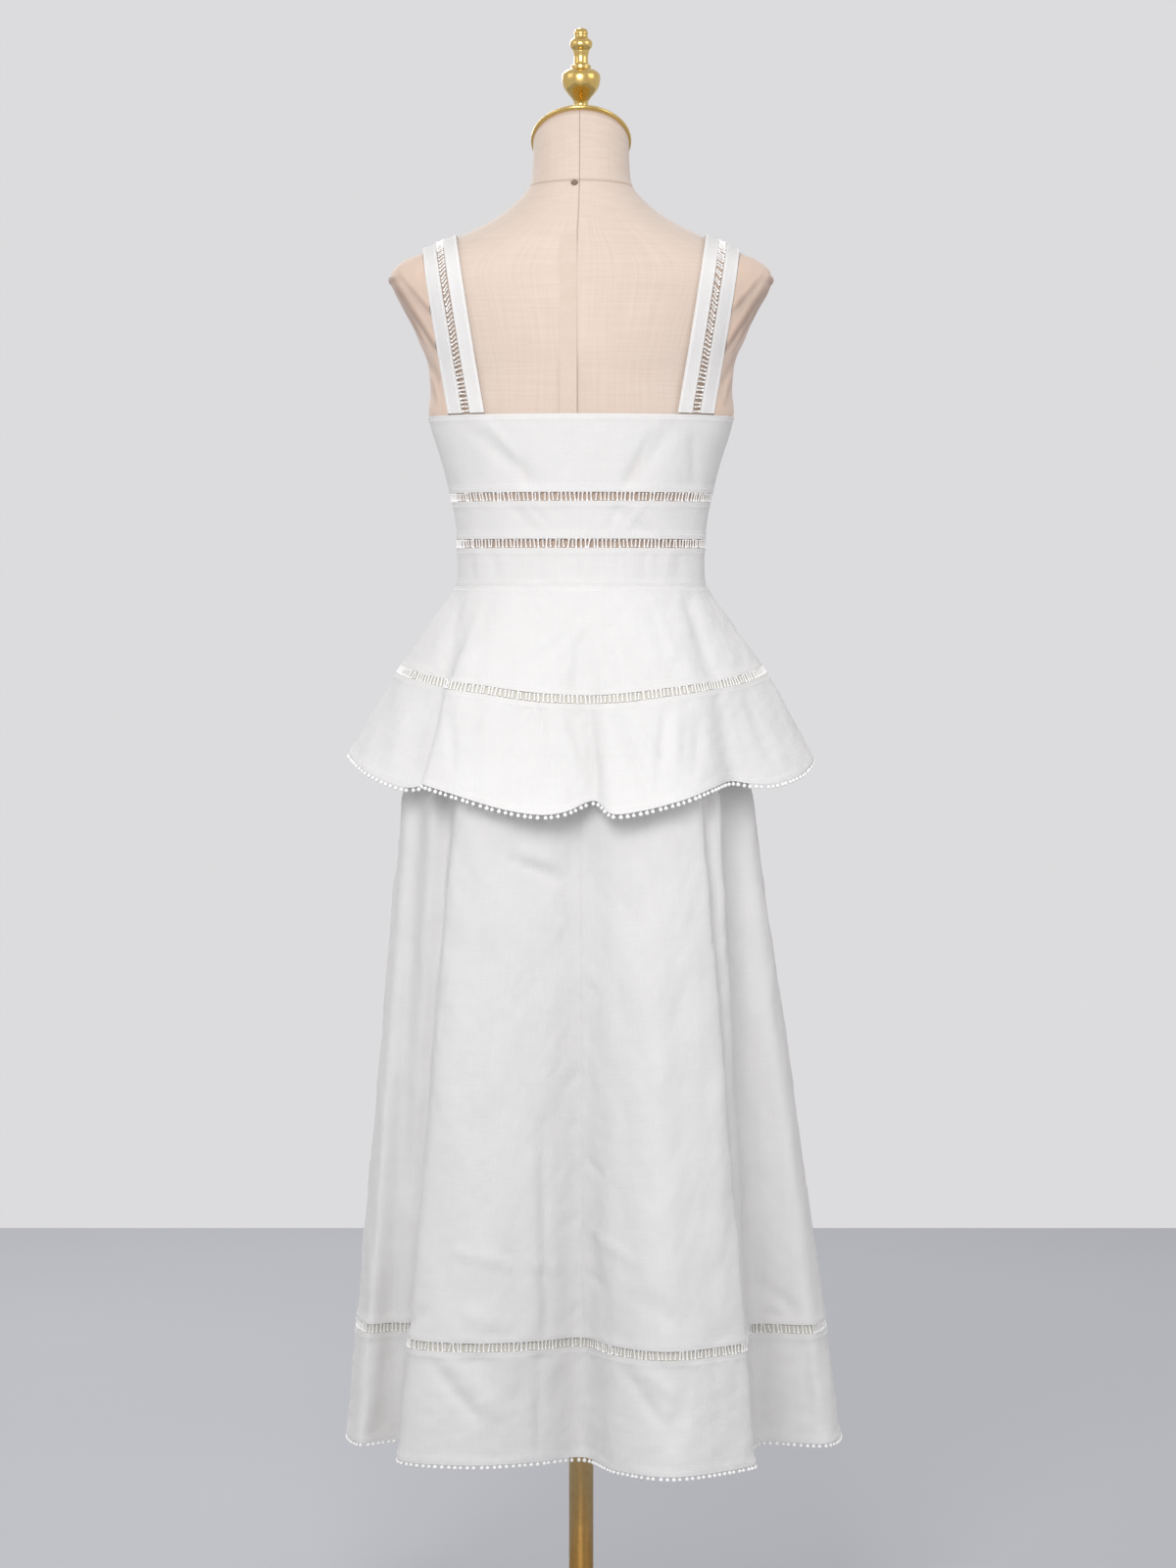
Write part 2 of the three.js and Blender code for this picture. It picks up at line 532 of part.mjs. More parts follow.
// ---------------------------------------------------------------- the skirt
const SKIRT_STEPS = [0.02, -0.5];
const SKIRT_COUNT = SKIRT_FOLDS.length;
const SKIRT_SEAMS = [0, 90, 180, 270].map((turn) => SKIRT_FOLDS.findIndex((row) => row.turn === turn));
const SKIRT_COLUMNS_PER_FOLD = 2;
const [SKIRT_BACK, SKIRT_LEFT, SKIRT_FRONT, SKIRT_RIGHT] = SKIRT_SEAMS;

const SKIRT_PANELS = [
  { part: "back_left", left: SKIRT_BACK, right: SKIRT_LEFT },
  { part: "front_left", left: SKIRT_LEFT, right: SKIRT_FRONT },
  { part: "front_right", left: SKIRT_FRONT, right: SKIRT_RIGHT },
  { part: "back_right", left: SKIRT_RIGHT, right: SKIRT_COUNT },
];
const SKIRT_HEM_BANDS = [
  { part: "back", left: SKIRT_RIGHT - SKIRT_COUNT, right: SKIRT_LEFT },
  { part: "front_left", left: SKIRT_LEFT, right: SKIRT_FRONT },
  { part: "front_right", left: SKIRT_FRONT, right: SKIRT_RIGHT },
];

function skirtPiece(name, { left, right, bend }, top, bottom, rows, material = ramie) {
  return cloth(
    name,
    skirt,
    { left: left + SEAM_ACROSS, right: right - SEAM_ACROSS, top, bottom, bend },
    { columns: (right - left) * SKIRT_COLUMNS_PER_FOLD, rows },
    material,
    { steps: SKIRT_STEPS },
  );
}

const atHip = (rowsAbove) => ({ at: HIP_Z, rowsAbove });

function skirtPieces() {
  const around = { left: SKIRT_FRONT - SKIRT_COUNT, right: SKIRT_FRONT };
  const ladderTop = SKIRT_LADDER_Z + halfLadder;
  const ladderBottom = SKIRT_LADDER_Z - halfLadder;
  const top = WAIST_Z - HALF_GAP;
  return [
    ...SKIRT_PANELS.map((panel) =>
      skirtPiece(`skirt_${panel.part}`, { ...panel, bend: atHip(1) }, top, ladderTop + HALF_GAP, 3),
    ),
    skirtPiece("skirt_ladder", around, ladderTop - HALF_GAP, ladderBottom + HALF_GAP, 1, lace),
    ...SKIRT_HEM_BANDS.map((band) =>
      skirtPiece(`skirt_hem_band_${band.part}`, band, ladderBottom - HALF_GAP, HEM_Z, 1),
    ),
    skirtPiece("skirt_bead_trim", around, HEM_Z - SEAM_GAP, HEM_Z - TRIM_DROP, 1, beads),
  ];
}

// ---------------------------------------------------------------- placket and buttons
const PLACKET_RAISED = PLACKET_LIFT + PLACKET_THICKNESS; // its outer face, out from the cloth it lies on
const bodiceFront = (x, z) => bodice(acrossAt(bodice, x, z, 160, 200), z);
const skirtFront = (x, z) => skirt(acrossAt(skirt, x, z, SKIRT_FRONT - 1, SKIRT_FRONT + 1), z);

function placketPieces() {
  const half = PLACKET_WIDTH / 2;
  const strip = (name, front, top, bottom, rows, bend) =>
    // Across runs towards -X here, as it does on the panels below.
    cloth(
      name,
      (across, z) => front(-across, z),
      { left: -half, right: half, top, bottom, bend },
      { columns: 4, rows },
      ramie,
      { raised: PLACKET_RAISED, thick: PLACKET_THICKNESS, steps: [1, -1] },
    );
  return [
    strip("placket_bodice", bodiceFront, FRONT_TOP_Z, WAIST_Z + HALF_GAP, 12),
    strip("placket_skirt", skirtFront, SKIRT_PLACKET_TOP_Z, HEM_Z, 6, atHip(2)),
  ];
}

// A round button with a raised rim, its back at the origin and its face up +Z.
function buttonShape() {
  const r = BUTTON_RADIUS;
  const t = BUTTON_THICKNESS;
  const profile = [[0, 0], [r - 1, 0], [r, 0.7], [r, t - 0.6], [r - 0.7, t], [r - 1.6, t], [r - 2.4, t - 0.8], [0, t - 0.8]];
  const points = profile.map(([radius, height]) => new THREE.Vector2(radius, height));
  return new THREE.LatheGeometry(points, 12).rotateX(Math.PI / 2);
}

function buttons(prefix, front, heights) {
  return heights.map((z, n) => {
    const out = wayOut((across, down) => front(-across, down), 0, z, 3, -4);
    const button = new THREE.Mesh(buttonShape(), shell());
    button.name = `${prefix}_${n + 1}`;
    button.quaternion.setFromUnitVectors(new THREE.Vector3(0, 0, 1), out);
    button.position.copy(front(0, z)).addScaledVector(out, PLACKET_RAISED + BUTTON_LIFT);
    return button;
  });
}

// ---------------------------------------------------------------- the form and its stand
function lathe(name, profile, segments, material = brass) {
  const points = profile.map(([radius, height]) => new THREE.Vector2(radius, height));
  const turned = new THREE.Mesh(new THREE.LatheGeometry(points, segments).rotateX(Math.PI / 2), material());
  turned.name = name;
  return turned;
}

const SHOULDERS_END_Z = 1330; // above it the form has a ring halfway between two rows
const FORM_SLACK_FADE = 30; // height over which the form slims to sit inside the bodice

// The torso: stacked rings of the form's table, with a flat underside and a slanted top.
function torso() {
  const columns = 44;
  const levels = FORM.flatMap((row, k) => {
    const next = FORM[k + 1];
    return next && row.z > SHOULDERS_END_Z ? [row.z, (row.z + next.z) / 2] : [row.z];
  });
  const position = [];
  for (const z of levels) {
    const covered = smooth((FRONT_TOP_Z + FORM_SLACK_FADE - z) / FORM_SLACK_FADE);
    for (let i = 0; i < columns; i++) {
      position.push(...aroundForm((360 * i) / columns, z, -FORM_SLACK * covered).toArray());
    }
  }
  const topMiddle = position.length / 3;
  position.push(0, 0, FORM[0].z);
  position.push(0, 0, FORM.at(-1).z);
  const faces = [];
  const lowest = (levels.length - 1) * columns;
  for (let i = 0; i < columns; i++) {
    const next = (i + 1) % columns;
    faces.push(topMiddle, next, i, topMiddle + 1, lowest + i, lowest + next);
    for (let j = 0; j < levels.length - 1; j++) {
      const [a, b] = [j * columns + i, j * columns + next];
      const [c, d] = [b + columns, a + columns];
      // The two sides are split alike, mirrored.
      if (i < columns / 2) faces.push(a, b, d, b, c, d);
      else faces.push(a, c, d, a, b, c);
    }
  }
  return mesh("form_torso", position, faces, linen);
}

// A sheer cloth over each armhole side of the form, outside the strap.
const COVER = { low: BACK_TOP_Z + 5, high: 1414, beside: 1.2, raised: 2.6, thick: 1 };

function armholeCover(side, sideName) {
  const surface = (share, z) => {
    const wide = formSize("wide", z);
    const back = THREE.MathUtils.radToDeg(Math.asin(Math.min(0.99, (strapSide(1, z, false) + COVER.beside) / wide)));
    const inFront = Math.max(z, FRONT_TOP_Z);
    const front = 180 - THREE.MathUtils.radToDeg(Math.asin(Math.min(0.99, (strapSide(1, inFront, true) + COVER.beside) / wide)));
    const turn = mix(back, front, side > 0 ? share : 1 - share);
    return aroundForm(side * turn, z, 0);
  };
  // Below the front's top edge the cover stops short of the cloth.
  const bottom = (share) => mix(COVER.low, FRONT_TOP_Z + 5, smooth(((side > 0 ? share : 1 - share) - 0.35) / 0.5));
  return cloth(
    `form_armhole_cover_${sideName}`,
    surface,
    { left: 0, right: 1, top: COVER.high, bottom },
    { columns: 9, rows: 14 },
    sheer,
    { raised: COVER.raised, thick: COVER.thick, steps: [0.02, -0.5] },
  );
}

// A mesh's shape in the part's frame as a solid, and a solid as a mesh.
const wasm = await Module();
wasm.setup();
function solidOf(shape) {
  shape.updateMatrixWorld(true);
  const loose = shape.geometry.clone().applyMatrix4(shape.matrixWorld);
  loose.deleteAttribute("normal");
  loose.deleteAttribute("uv");
  const merged = mergeVertices(loose, 1e-4);
  const vertProperties = merged.attributes.position.array;
  return new wasm.Manifold(
    new wasm.Mesh({ numProp: 3, vertProperties, triVerts: new Uint32Array(merged.index.array) }),
  );
}
function joined(name, first, second, material) {
  const { vertProperties, triVerts } = solidOf(first).add(solidOf(second)).getMesh();
  return mesh(name, Array.from(vertProperties), Array.from(triVerts), material);
}

// The neck cap: a turned disc, stretched and tilted to the slanted neck cut, with a seat for the finial.
function neckCap() {
  const tilt = Math.atan(FORM[0].tilt);
  const profile = CAP_PROFILE.map(([share, height]) => [share * FORM[0].wide, height]);
  const cap = lathe("disc", profile, 40);
  cap.geometry.scale(1, 1 / Math.cos(tilt), 1);
  cap.rotation.x = tilt;
  cap.position.set(0, 0, FORM[0].z + SEAM_GAP);
  return joined("neck_cap", cap, lathe("boss", CAP_BOSS_PROFILE, 28), brass);
}

function stand() {
  const finialSeat = FINIAL_PROFILE[0][1];
  const poleLow = COLLAR_PROFILE.at(-1)[1] + SEAM_GAP;
  const poleHigh = UNDERSIDE_PROFILE[0][1] - SEAM_GAP;
  const poleProfile = [[0, poleLow], [POLE_RADIUS, poleLow], [POLE_RADIUS, poleHigh], [0, poleHigh]];
  const finial = lathe("finial", FINIAL_PROFILE.map(([r, z]) => [r, z - finialSeat]), 28);
  finial.position.set(0, 0, finialSeat);
  return [
    lathe("stand_base", BASE_PROFILE, 40),
    lathe("stand_collar", COLLAR_PROFILE, 28),
    lathe("stand_pole", poleProfile, 24),
    lathe("form_underside_plate", UNDERSIDE_PROFILE, 32),
    neckCap(),
    finial,
  ];
}

// ---------------------------------------------------------------- the whole
const dress = new THREE.Group();
dress.add(
  ...bodicePieces(),
  ...strapPieces(1, "left"),
  ...strapPieces(-1, "right"),
  ...peplumPieces(),
  ...skirtPieces(),
  ...placketPieces(),
  ...buttons("button_bodice", bodiceFront, BODICE_BUTTON_Z),
  ...buttons("button_skirt", skirtFront, SKIRT_BUTTON_Z),
);
const form = new THREE.Group();
form.add(torso(), armholeCover(1, "left"), armholeCover(-1, "right"), ...stand());

const part = new THREE.Group();
part.add(dress, form);
export default part;
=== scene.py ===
"""A white button-down midi dress with a peplum, on a linen-covered dress form with a brass stand.

Every piece is built round the packed frame. The dress's front faces -Y and its back +Y.
Tables are in millimetres; MM turns them into the scene's metres.
"""

import math

import bpy
import numpy as np
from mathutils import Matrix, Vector


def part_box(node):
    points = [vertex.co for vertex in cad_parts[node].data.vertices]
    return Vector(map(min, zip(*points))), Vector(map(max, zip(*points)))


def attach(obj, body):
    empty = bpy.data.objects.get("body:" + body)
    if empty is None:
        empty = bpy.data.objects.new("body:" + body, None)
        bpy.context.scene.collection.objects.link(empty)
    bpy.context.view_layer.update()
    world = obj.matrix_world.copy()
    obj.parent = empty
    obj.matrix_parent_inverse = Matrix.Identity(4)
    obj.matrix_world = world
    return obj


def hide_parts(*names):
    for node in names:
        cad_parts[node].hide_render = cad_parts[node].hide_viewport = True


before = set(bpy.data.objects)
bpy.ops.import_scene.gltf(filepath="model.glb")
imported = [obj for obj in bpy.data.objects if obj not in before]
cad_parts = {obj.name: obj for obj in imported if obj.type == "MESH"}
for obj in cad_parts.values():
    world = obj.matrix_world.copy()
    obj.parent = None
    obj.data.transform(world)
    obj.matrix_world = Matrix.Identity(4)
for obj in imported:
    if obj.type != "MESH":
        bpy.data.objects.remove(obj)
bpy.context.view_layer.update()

bl_info = {
    "name": "Button-down midi dress",
    "version": (1, 0, 0),
    "blender": (4, 5, 0),
    "location": "View3D > Sidebar > Dress",
    "description": "Builds a ladder-lace midi dress on its dress form",
    "category": "Add Mesh",
}

MM = 0.001
BODY = "root"


def level(node, end):
    """The height in mm of a node's lowest (0) or highest (1) point."""
    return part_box(node)[end][2] / MM


def columns(names, rows):
    """A table's columns by name."""
    return dict(zip(names, np.array(rows, float).T))


# ------------------------------------------------------------------ levels and tables
HALF_GAP = 0.15
WAIST_Z = level("back_waistband", 0) - HALF_GAP
BACK_TOP_Z = level("back_upper", 1)
FRONT_TOP_Z = level("placket_bodice", 1)
LADDER_LOW = (level("back_waistband", 1), level("back_middle", 0))
LADDER_HIGH = (level("back_middle", 1), level("back_upper", 0))
HIP_Z = 873
HEM_Z = level("skirt_hem_band_back", 0)
SKIRT_LADDER = (level("skirt_hem_band_back", 1), level("skirt_back_left", 0))

CAD_CLOTH = 1.5  # thickness of the frame's walls, in mm
WORN_EASE = 2.4  # from the form to the bodice
STRAP_LIFT = 1.1  # and how much further out the straps lie
WAIST_EASE, WAIST_EASE_HEIGHT = 2.0, 78.0
SKIRT_WAIST_EASE = 2.2
FRONT_RISE = (96.0, 128.0)  # between these turns the neckline climbs to the front's

# The form from its neck cut down: height, half width, depth to the back and front, tilt of the level.
FORM_COLUMNS = ("z", "wide", "back", "front", "tilt")
FORM_ROWS = (
    (1535, 48.5, 48, 48, 0.6),
    (1512, 49, 49, 49, 0.32),
    (1490, 53, 55, 52, 0.06),
    (1470, 72, 64, 56, 0),
    (1455, 94, 71, 61, 0),
    (1440, 125, 78, 67, 0),
    (1424, 162, 84, 74, 0),
    (1408, 187, 90, 80, 0),
    (1392, 190, 94, 87, 0),
    (1365, 176, 99, 98, 0),
    (1335, 163, 102, 110, 0),
    (1310, 154, 103, 118, 0),
    (1283, 151.5, 103, 122, 0),
    (1258, 153, 102, 120, 0),
    (1210, 139, 97, 108, 0),
    (1165, 128, 92, 97, 0),
    (1125, 123, 88, 90, 0),
    (1087, 122.7, 88, 87, 0),
    (1040, 129, 94, 89, 0),
    (980, 136, 100, 93, 0),
    (920, 140, 103, 95, 0),
    (885, 138, 101, 93, 0),
)
FORM = columns(FORM_COLUMNS, FORM_ROWS)

# The skirt's folds from centre back round by +X: where the fold leaves the waist seam in degrees,
# then its place (x, y) at the hips and at the hem.
SKIRT_COLUMNS = ("turn", "hip_x", "hip_y", "hem_x", "hem_y")
SKIRT_ROWS = (
    (0, 0, 141, -2, 128),  # centre back seam
    (12, 33, 147, 50, 152),
    (27, 76, 150, 112, 168),
    (42, 121, 136, 181, 138),  # edge of the flat back panel
    (52, 129, 95, 172, 40),  # deep fold
    (60, 149, 90, 188, 30),  # tongue
    (69, 162, 58, 200, 36),
    (79, 177, 42, 226, 50),
    (90, 182, -4, 241, -6),  # side seam
    (104, 170, -52, 222, -62),
    (119, 143, -78, 176, -88),
    (134, 122, -122, 158, -160),
    (148, 80, -128, 100, -140),
    (164, 40, -146, 50, -186),
    (180, 0, -148, 0, -187),  # centre front
    (196, -40, -146, -50, -188),
    (211, -79, -130, -104, -142),
    (226, -118, -124, -170, -152),
    (241, -141, -80, -190, -84),
    (256, -166, -50, -246, -66),
    (270, -175, -4, -267, -8),  # side seam
    (282, -168, 44, -248, 56),
    (294, -141, 66, -183, 44),  # deep fold
    (304, -138, 108, -172, 112),  # narrow strip
    (312, -122, 118, -171, 140),
    (320, -116, 140, -167, 172),  # edge of the flat back panel
    (334, -72, 152, -92, 226),
    (348, -34, 150, -36, 192),
)
SKIRT = columns(SKIRT_COLUMNS, SKIRT_ROWS)
SKIRT_LEFT, SKIRT_FRONT, SKIRT_RIGHT, SKIRT_COUNT = 8, 14, 20, 28

# The peplum's folds from its edge at centre front round the back to its other edge.
PEPLUM_COLUMNS = ("turn", "mid_x", "mid_y", "mid_z", "hem_x", "hem_y", "hem_z")
PEPLUM_ROWS = (
    (-179.4, -7, -133, 981, -15, -172, 878),
    (-163, -44, -136, 978, -58, -186, 872),
    (-147, -84, -114, 984, -100, -150, 882),
    (-133, -117, -102, 986, -152, -146, 884),
    (-119, -146, -72, 992, -182, -98, 893),
    (-104, -176, -42, 999, -226, -58, 905),
    (-90, -187, 0, 1003, -237, 0, 912),  # side seam
    (-79, -179, 34, 999, -224, 48, 899),
    (-68, -160, 66, 993, -196, 86, 890),
    (-60, -146, 82, 990, -170, 103, 890),  # lip of the fold
    (-52, -134, 93, 988, -149, 113, 893),
    (-43, -114, 114, 985, -131, 149, 888),
    (-32, -82, 129, 981, -103, 176, 878),
    (-21, -50, 137, 977, -64, 187, 868),
    (-10, -25, 136, 975, -31, 187, 864),
    (-1, -8, 129, 974, -13, 167, 876),  # small fold at centre back
    (8, 12, 134, 975, 15, 181, 866),
    (17, 35, 137, 976, 42, 184, 863),
    (27, 64, 134, 979, 80, 178, 869),
    (36, 96, 124, 984, 119, 164, 880),
    (45, 131, 106, 988, 157, 136, 891),
    (53, 136, 85, 990, 151, 103, 890),  # fold
    (61, 150, 73, 993, 177, 92, 886),
    (75, 174, 44, 999, 215, 60, 900),
    (90, 186, 2, 1003, 237, 4, 917),  # side seam
    (104, 174, -44, 999, 222, -62, 907),
    (119, 145, -74, 992, 184, -96, 893),
    (133, 117, -104, 986, 150, -150, 882),
    (147, 84, -115, 984, 98, -152, 880),
    (163, 44, -137, 978, 56, -188, 871),
    (179.4, 7, -133, 981, 15, -174, 877),
)
PEPLUM = columns(PEPLUM_COLUMNS, PEPLUM_ROWS)
PEPLUM_LAST, PEPLUM_RIGHT, PEPLUM_LEFT = 30, 6, 24
TIER_HEIGHT = 110.0  # about how long each tier is down its slope
PEPLUM_HALF_LADDER = 4.4 / TIER_HEIGHT

STRAP_PIVOT_Z, STRAP_TOP_Z = 1300.0, 1438.0
# The straps' neck-side and arm-side lines: half distance apart at the back, the shoulder and the front.
STRAP_LINES = {"back": (95, 131), "top": (125, 161), "front": (84, 120)}
STRAP_TAPES = (("inner_tape", 0.0, 0.39), ("outer_tape", 0.61, 1.0))
STRAP_LADDER = (0.4, 0.6)

# Creases of each part of the dress, as seen from behind or from the front: both ends (x, z), half
# width, depth (a negative depth is a ridge), and which side they are on (+1 back, -1 front).
CREASES = {
    "bodice": (
        (113, 1246, 40, 1184, 9, 1.6, 1), (96, 1252, 60, 1210, 5, -1.0, 1),
        (-92, 1247, -48, 1186, 9, 1.6, 1), (-112, 1236, -116, 1186, 5, 1.4, 1),
        (-30, 1246, -26, 1200, 10, 0.8, 1), (10, 1240, 16, 1195, 7, 0.9, 1),
        (-30, 1166, -66, 1138, 5, 1.0, 1), (-52, 1168, -80, 1140, 4, -0.8, 1),
        (70, 1164, 40, 1140, 6, 0.7, 1), (112, 1122, 108, 1090, 4, 1.0, 1),
        (88, 1121, 86, 1092, 4, 0.7, 1), (40, 1122, 44, 1090, 6, 0.6, 1),
        (-20, 1122, -22, 1090, 5, 0.6, 1), (-64, 1121, -66, 1090, 4, 0.8, 1),
        (-100, 1122, -98, 1090, 5, 1.0, 1), (-36, 1121, -37, 1092, 2.5, 0.6, 1),
        (-50, 1120, -54, 1096, 2.5, -0.6, 1), (-76, 1121, -77, 1090, 2.2, 0.7, 1),
        (-88, 1121, -86, 1094, 2.4, -0.6, 1), (58, 1120, 62, 1094, 2.6, -0.5, 1),
        (6, 1120, 2, 1093, 3, 0.5, 1), (-40, 1168, -22, 1138, 3, 0.8, 1),
        (-62, 1168, -44, 1142, 2.6, -0.7, 1), (52, 1168, 30, 1146, 3, 0.7, 1),
        (-70, 1240, -44, 1184, 4, 1.0, 1), (60, 1215, 54, 1182, 4, 0.8, 1),
        (100, 1270, 40, 1200, 9, 1.4, -1), (-104, 1272, -44, 1198, 9, 1.4, -1),
        (60, 1284, 58, 1230, 7, 0.9, -1), (-58, 1286, -60, 1226, 7, 0.9, -1),
        (80, 1166, 50, 1138, 5, 0.8, -1), (-60, 1166, -84, 1140, 5, 0.8, -1),
        (60, 1121, 58, 1092, 4, 0.8, -1), (-58, 1121, -60, 1091, 4, 0.8, -1),
    ),
    "peplum": (
        (122, 1078, 140, 985, 7, 2.2, 1), (96, 1080, 104, 1000, 9, 1.0, 1),
        (24, 1074, 84, 1016, 9, 1.6, 1), (10, 1050, 20, 1004, 5, 1.2, 1),
        (-20, 1044, -34, 984, 5, 1.4, 1), (-70, 1072, -84, 1010, 6, 0.9, 1),
        (2, 1046, 6, 984, 5, 1.8, 1), (-8, 1052, 24, 1016, 6, -2.0, 1),
        (24, 1030, 52, 1006, 7, 1.2, 1), (-34, 1068, -60, 994, 9, 1.0, 1),
        (-106, 1076, -138, 985, 7, 2.4, 1), (40, 968, 34, 900, 4.5, 2.0, 1),
        (62, 966, 88, 905, 8, 1.4, 1), (24, 966, -6, 882, 6, -1.6, 1),
        (-8, 964, -14, 886, 4.5, 2.0, 1), (-32, 960, -66, 886, 5, 2.6, 1),
        (-52, 958, -88, 896, 4.5, -1.8, 1), (-84, 966, -74, 884, 4.5, 2.4, 1),
        (-96, 962, -92, 892, 5, -1.2, 1), (132, 966, 126, 904, 5, 1.6, 1),
        (150, 974, 172, 900, 7, 1.6, 1), (-168, 972, -196, 905, 7, 1.6, 1),
        (-120, 960, -112, 902, 5, 1.2, 1), (90, 1076, 112, 996, 8, 2.0, -1),
        (-90, 1076, -114, 996, 8, 2.0, -1), (40, 1060, 52, 1000, 7, 1.2, -1),
        (-44, 1058, -50, 1002, 7, 1.2, -1), (60, 962, 72, 890, 6, 1.8, -1),
        (-70, 962, -60, 888, 6, 1.8, -1), (120, 966, 142, 900, 7, 1.6, -1),
        (-124, 966, -146, 900, 7, 1.6, -1),
    ),
    "skirt": (
        (70, 818, 16, 796, 5, 2.2, 1), (60, 826, 20, 812, 6, -1.4, 1),
        (38, 560, 34, 330, 5, 2.6, 1), (52, 520, 50, 330, 9, -1.6, 1),
        (130, 430, 20, 408, 5, -1.4, 1), (84, 428, 36, 404, 5, 1.2, 1),
        (-6, 450, -52, 424, 5, -1.4, 1), (-96, 700, -108, 360, 12, 1.6, 1),
        (-134, 640, -140, 360, 8, -1.6, 1), (-40, 640, -44, 420, 14, 1.2, 1),
        (98, 720, 104, 470, 14, 1.2, 1), (-60, 388, -104, 360, 9, 1.2, 1),
        (0, 606, 15, 590, 3.5, 1.2, 1), (1, 556, 17, 545, 3.5, 1.0, 1),
        (-5, 690, -20, 680, 3.5, 1.0, 1), (-3, 520, -22, 502, 4, 1.2, 1),
        (2, 462, 20, 448, 3.5, 1.0, 1), (-4, 404, -24, 392, 3.5, 1.2, 1),
        (0, 372, 14, 356, 3.5, 1.2, 1), (150, 372, 176, 350, 5, 1.4, 1),
        (-180, 380, -222, 352, 6, 1.4, 1), (120, 372, 70, 352, 9, -1.4, 1),
        (70, 700, 76, 380, 12, 1.8, -1), (-74, 690, -80, 370, 12, 1.8, -1),
        (110, 560, 122, 360, 9, -1.4, -1), (-116, 600, -128, 350, 9, 1.6, -1),
        (40, 800, 90, 780, 6, 1.6, -1), (-30, 810, -86, 792, 6, 1.6, -1),
    ),
    "hem": (
        (148, 318, 96, 256, 6, 2.0, 1), (130, 322, 76, 262, 9, -1.2, 1),
        (40, 328, 42, 226, 6, 2.2, 1), (30, 300, -2, 240, 8, 1.4, 1),
        (86, 320, 84, 240, 9, 0.9, 1), (-40, 320, -84, 262, 7, 1.8, 1),
        (-62, 318, -100, 290, 6, -1.2, 1), (-108, 322, -86, 244, 9, 1.8, 1),
        (-124, 320, -128, 230, 6, -1.2, 1), (-226, 320, -232, 240, 7, 1.6, 1),
        (216, 320, 224, 240, 7, 1.4, 1), (60, 320, 96, 250, 7, 1.6, -1),
        (-60, 320, -92, 252, 7, 1.6, -1), (120, 322, 126, 240, 7, -1.2, -1),
        (-130, 322, -120, 244, 7, 1.4, -1),
    ),
}

# Half of each turned piece's outline, from the bottom up: radius, height.
TURNED = {
    "stand_base": (
        (0, 0), (162, 0), (165, 3), (165, 9), (161, 13), (135, 17), (90, 21), (40, 24), (0, 24),
    ),
    "stand_collar": (
        (0, 24.3), (30, 24.3), (32, 27), (31, 32), (22, 37), (18, 44), (17, 56), (19, 58), (19, 63),
        (16, 66), (0, 66),
    ),
    "stand_pole": ((0, 66.3), (12.1, 66.3), (12.5, 66.8), (12.5, 861.2), (12.1, 861.7), (0, 861.7)),
    "form_underside_plate": (
        (0, 862), (22, 862), (24, 864), (24, 874), (70, 875), (72, 877), (72, 883), (70, 884.7), (0, 884.7),
    ),
    "finial": (
        (0, 1557), (9.5, 1557), (10.5, 1559), (9, 1563), (11, 1568), (9, 1571), (7, 1573), (7.5, 1577),
        (10, 1581), (13.5, 1585), (17, 1590), (18.8, 1595), (19.6, 1601), (18.5, 1605.5), (14, 1609),
        (10, 1610.5), (10, 1613.5), (7.5, 1615), (7, 1622), (8, 1627), (8.5, 1629), (10.8, 1632),
        (11.5, 1635.5), (10.5, 1638.5), (7.5, 1641), (6.6, 1643.5), (7, 1646.5), (5.5, 1650), (0, 1652),
    ),
}
CAP_SHARES = ((0, 0), (1, 0), (1.035, 0.8), (1.05, 2.4), (1.035, 4), (0.94, 5.2), (0.3, 11), (0, 12))
CAP_BOSS = ((0, 1541.5), (9, 1541.5), (9, 1553), (11, 1554.5), (11, 1556.7), (0, 1556.7))


# ------------------------------------------------------------------ small maths
def mix(a, b, f):
    return a + (b - a) * f


def smooth(x):
    x = np.clip(x, 0, 1)
    return x * x * (3 - 2 * x)


def through_four(a, b, c, d, f):
    """A cubic from b at f = 0 to c at f = 1, with the slopes of its neighbours."""
    s0, s1, rise = (c - a) / 2, (d - b) / 2, c - b
    return b + f * (s0 + f * (3 * rise - 2 * s0 - s1 + f * (s0 + s1 - 2 * rise)))


def form_size(name, z):
    """The form's column at heights z, smooth from row to row."""
    heights, values = FORM["z"], FORM[name]
    last = len(heights) - 1
    z = np.asarray(z, float)
    i = np.clip(np.searchsorted(-heights, -z, side="right") - 1, 0, last - 1)
    gap = heights[i] - heights[i + 1]
    f = np.clip((heights[i] - z) / gap, 0, 1)
    k = np.arange(last + 1)
    up, down = np.maximum(k - 1, 0), np.minimum(k + 1, last)
    slope = (values[down] - values[up]) / (heights[up] - heights[down])
    s0, s1, rise = slope[i] * gap, slope[i + 1] * gap, values[i + 1] - values[i]
    return values[i] + f * (s0 + f * (3 * rise - 2 * s0 - s1 + f * (s0 + s1 - 2 * rise)))


def around_form(turn, z, out):
    """Points `out` mm outside the form, `turn` degrees round from centre back towards +X."""
    a = np.radians(turn)
    depth = np.where(np.cos(a) > 0, form_size("back", z), form_size("front", z))
    y = (depth + out) * np.cos(a)
    x = (form_size("wide", z) + out) * np.sin(a)
    return np.stack([x, y, z + form_size("tilt", z) * y], -1)


# ------------------------------------------------------------------ the dress's surfaces
def bodice_ease(z):
    return WORN_EASE + WAIST_EASE * smooth((WAIST_Z + WAIST_EASE_HEIGHT - z) / WAIST_EASE_HEIGHT)


def bodice(turn, z):
    return around_form(turn, z, bodice_ease(z))


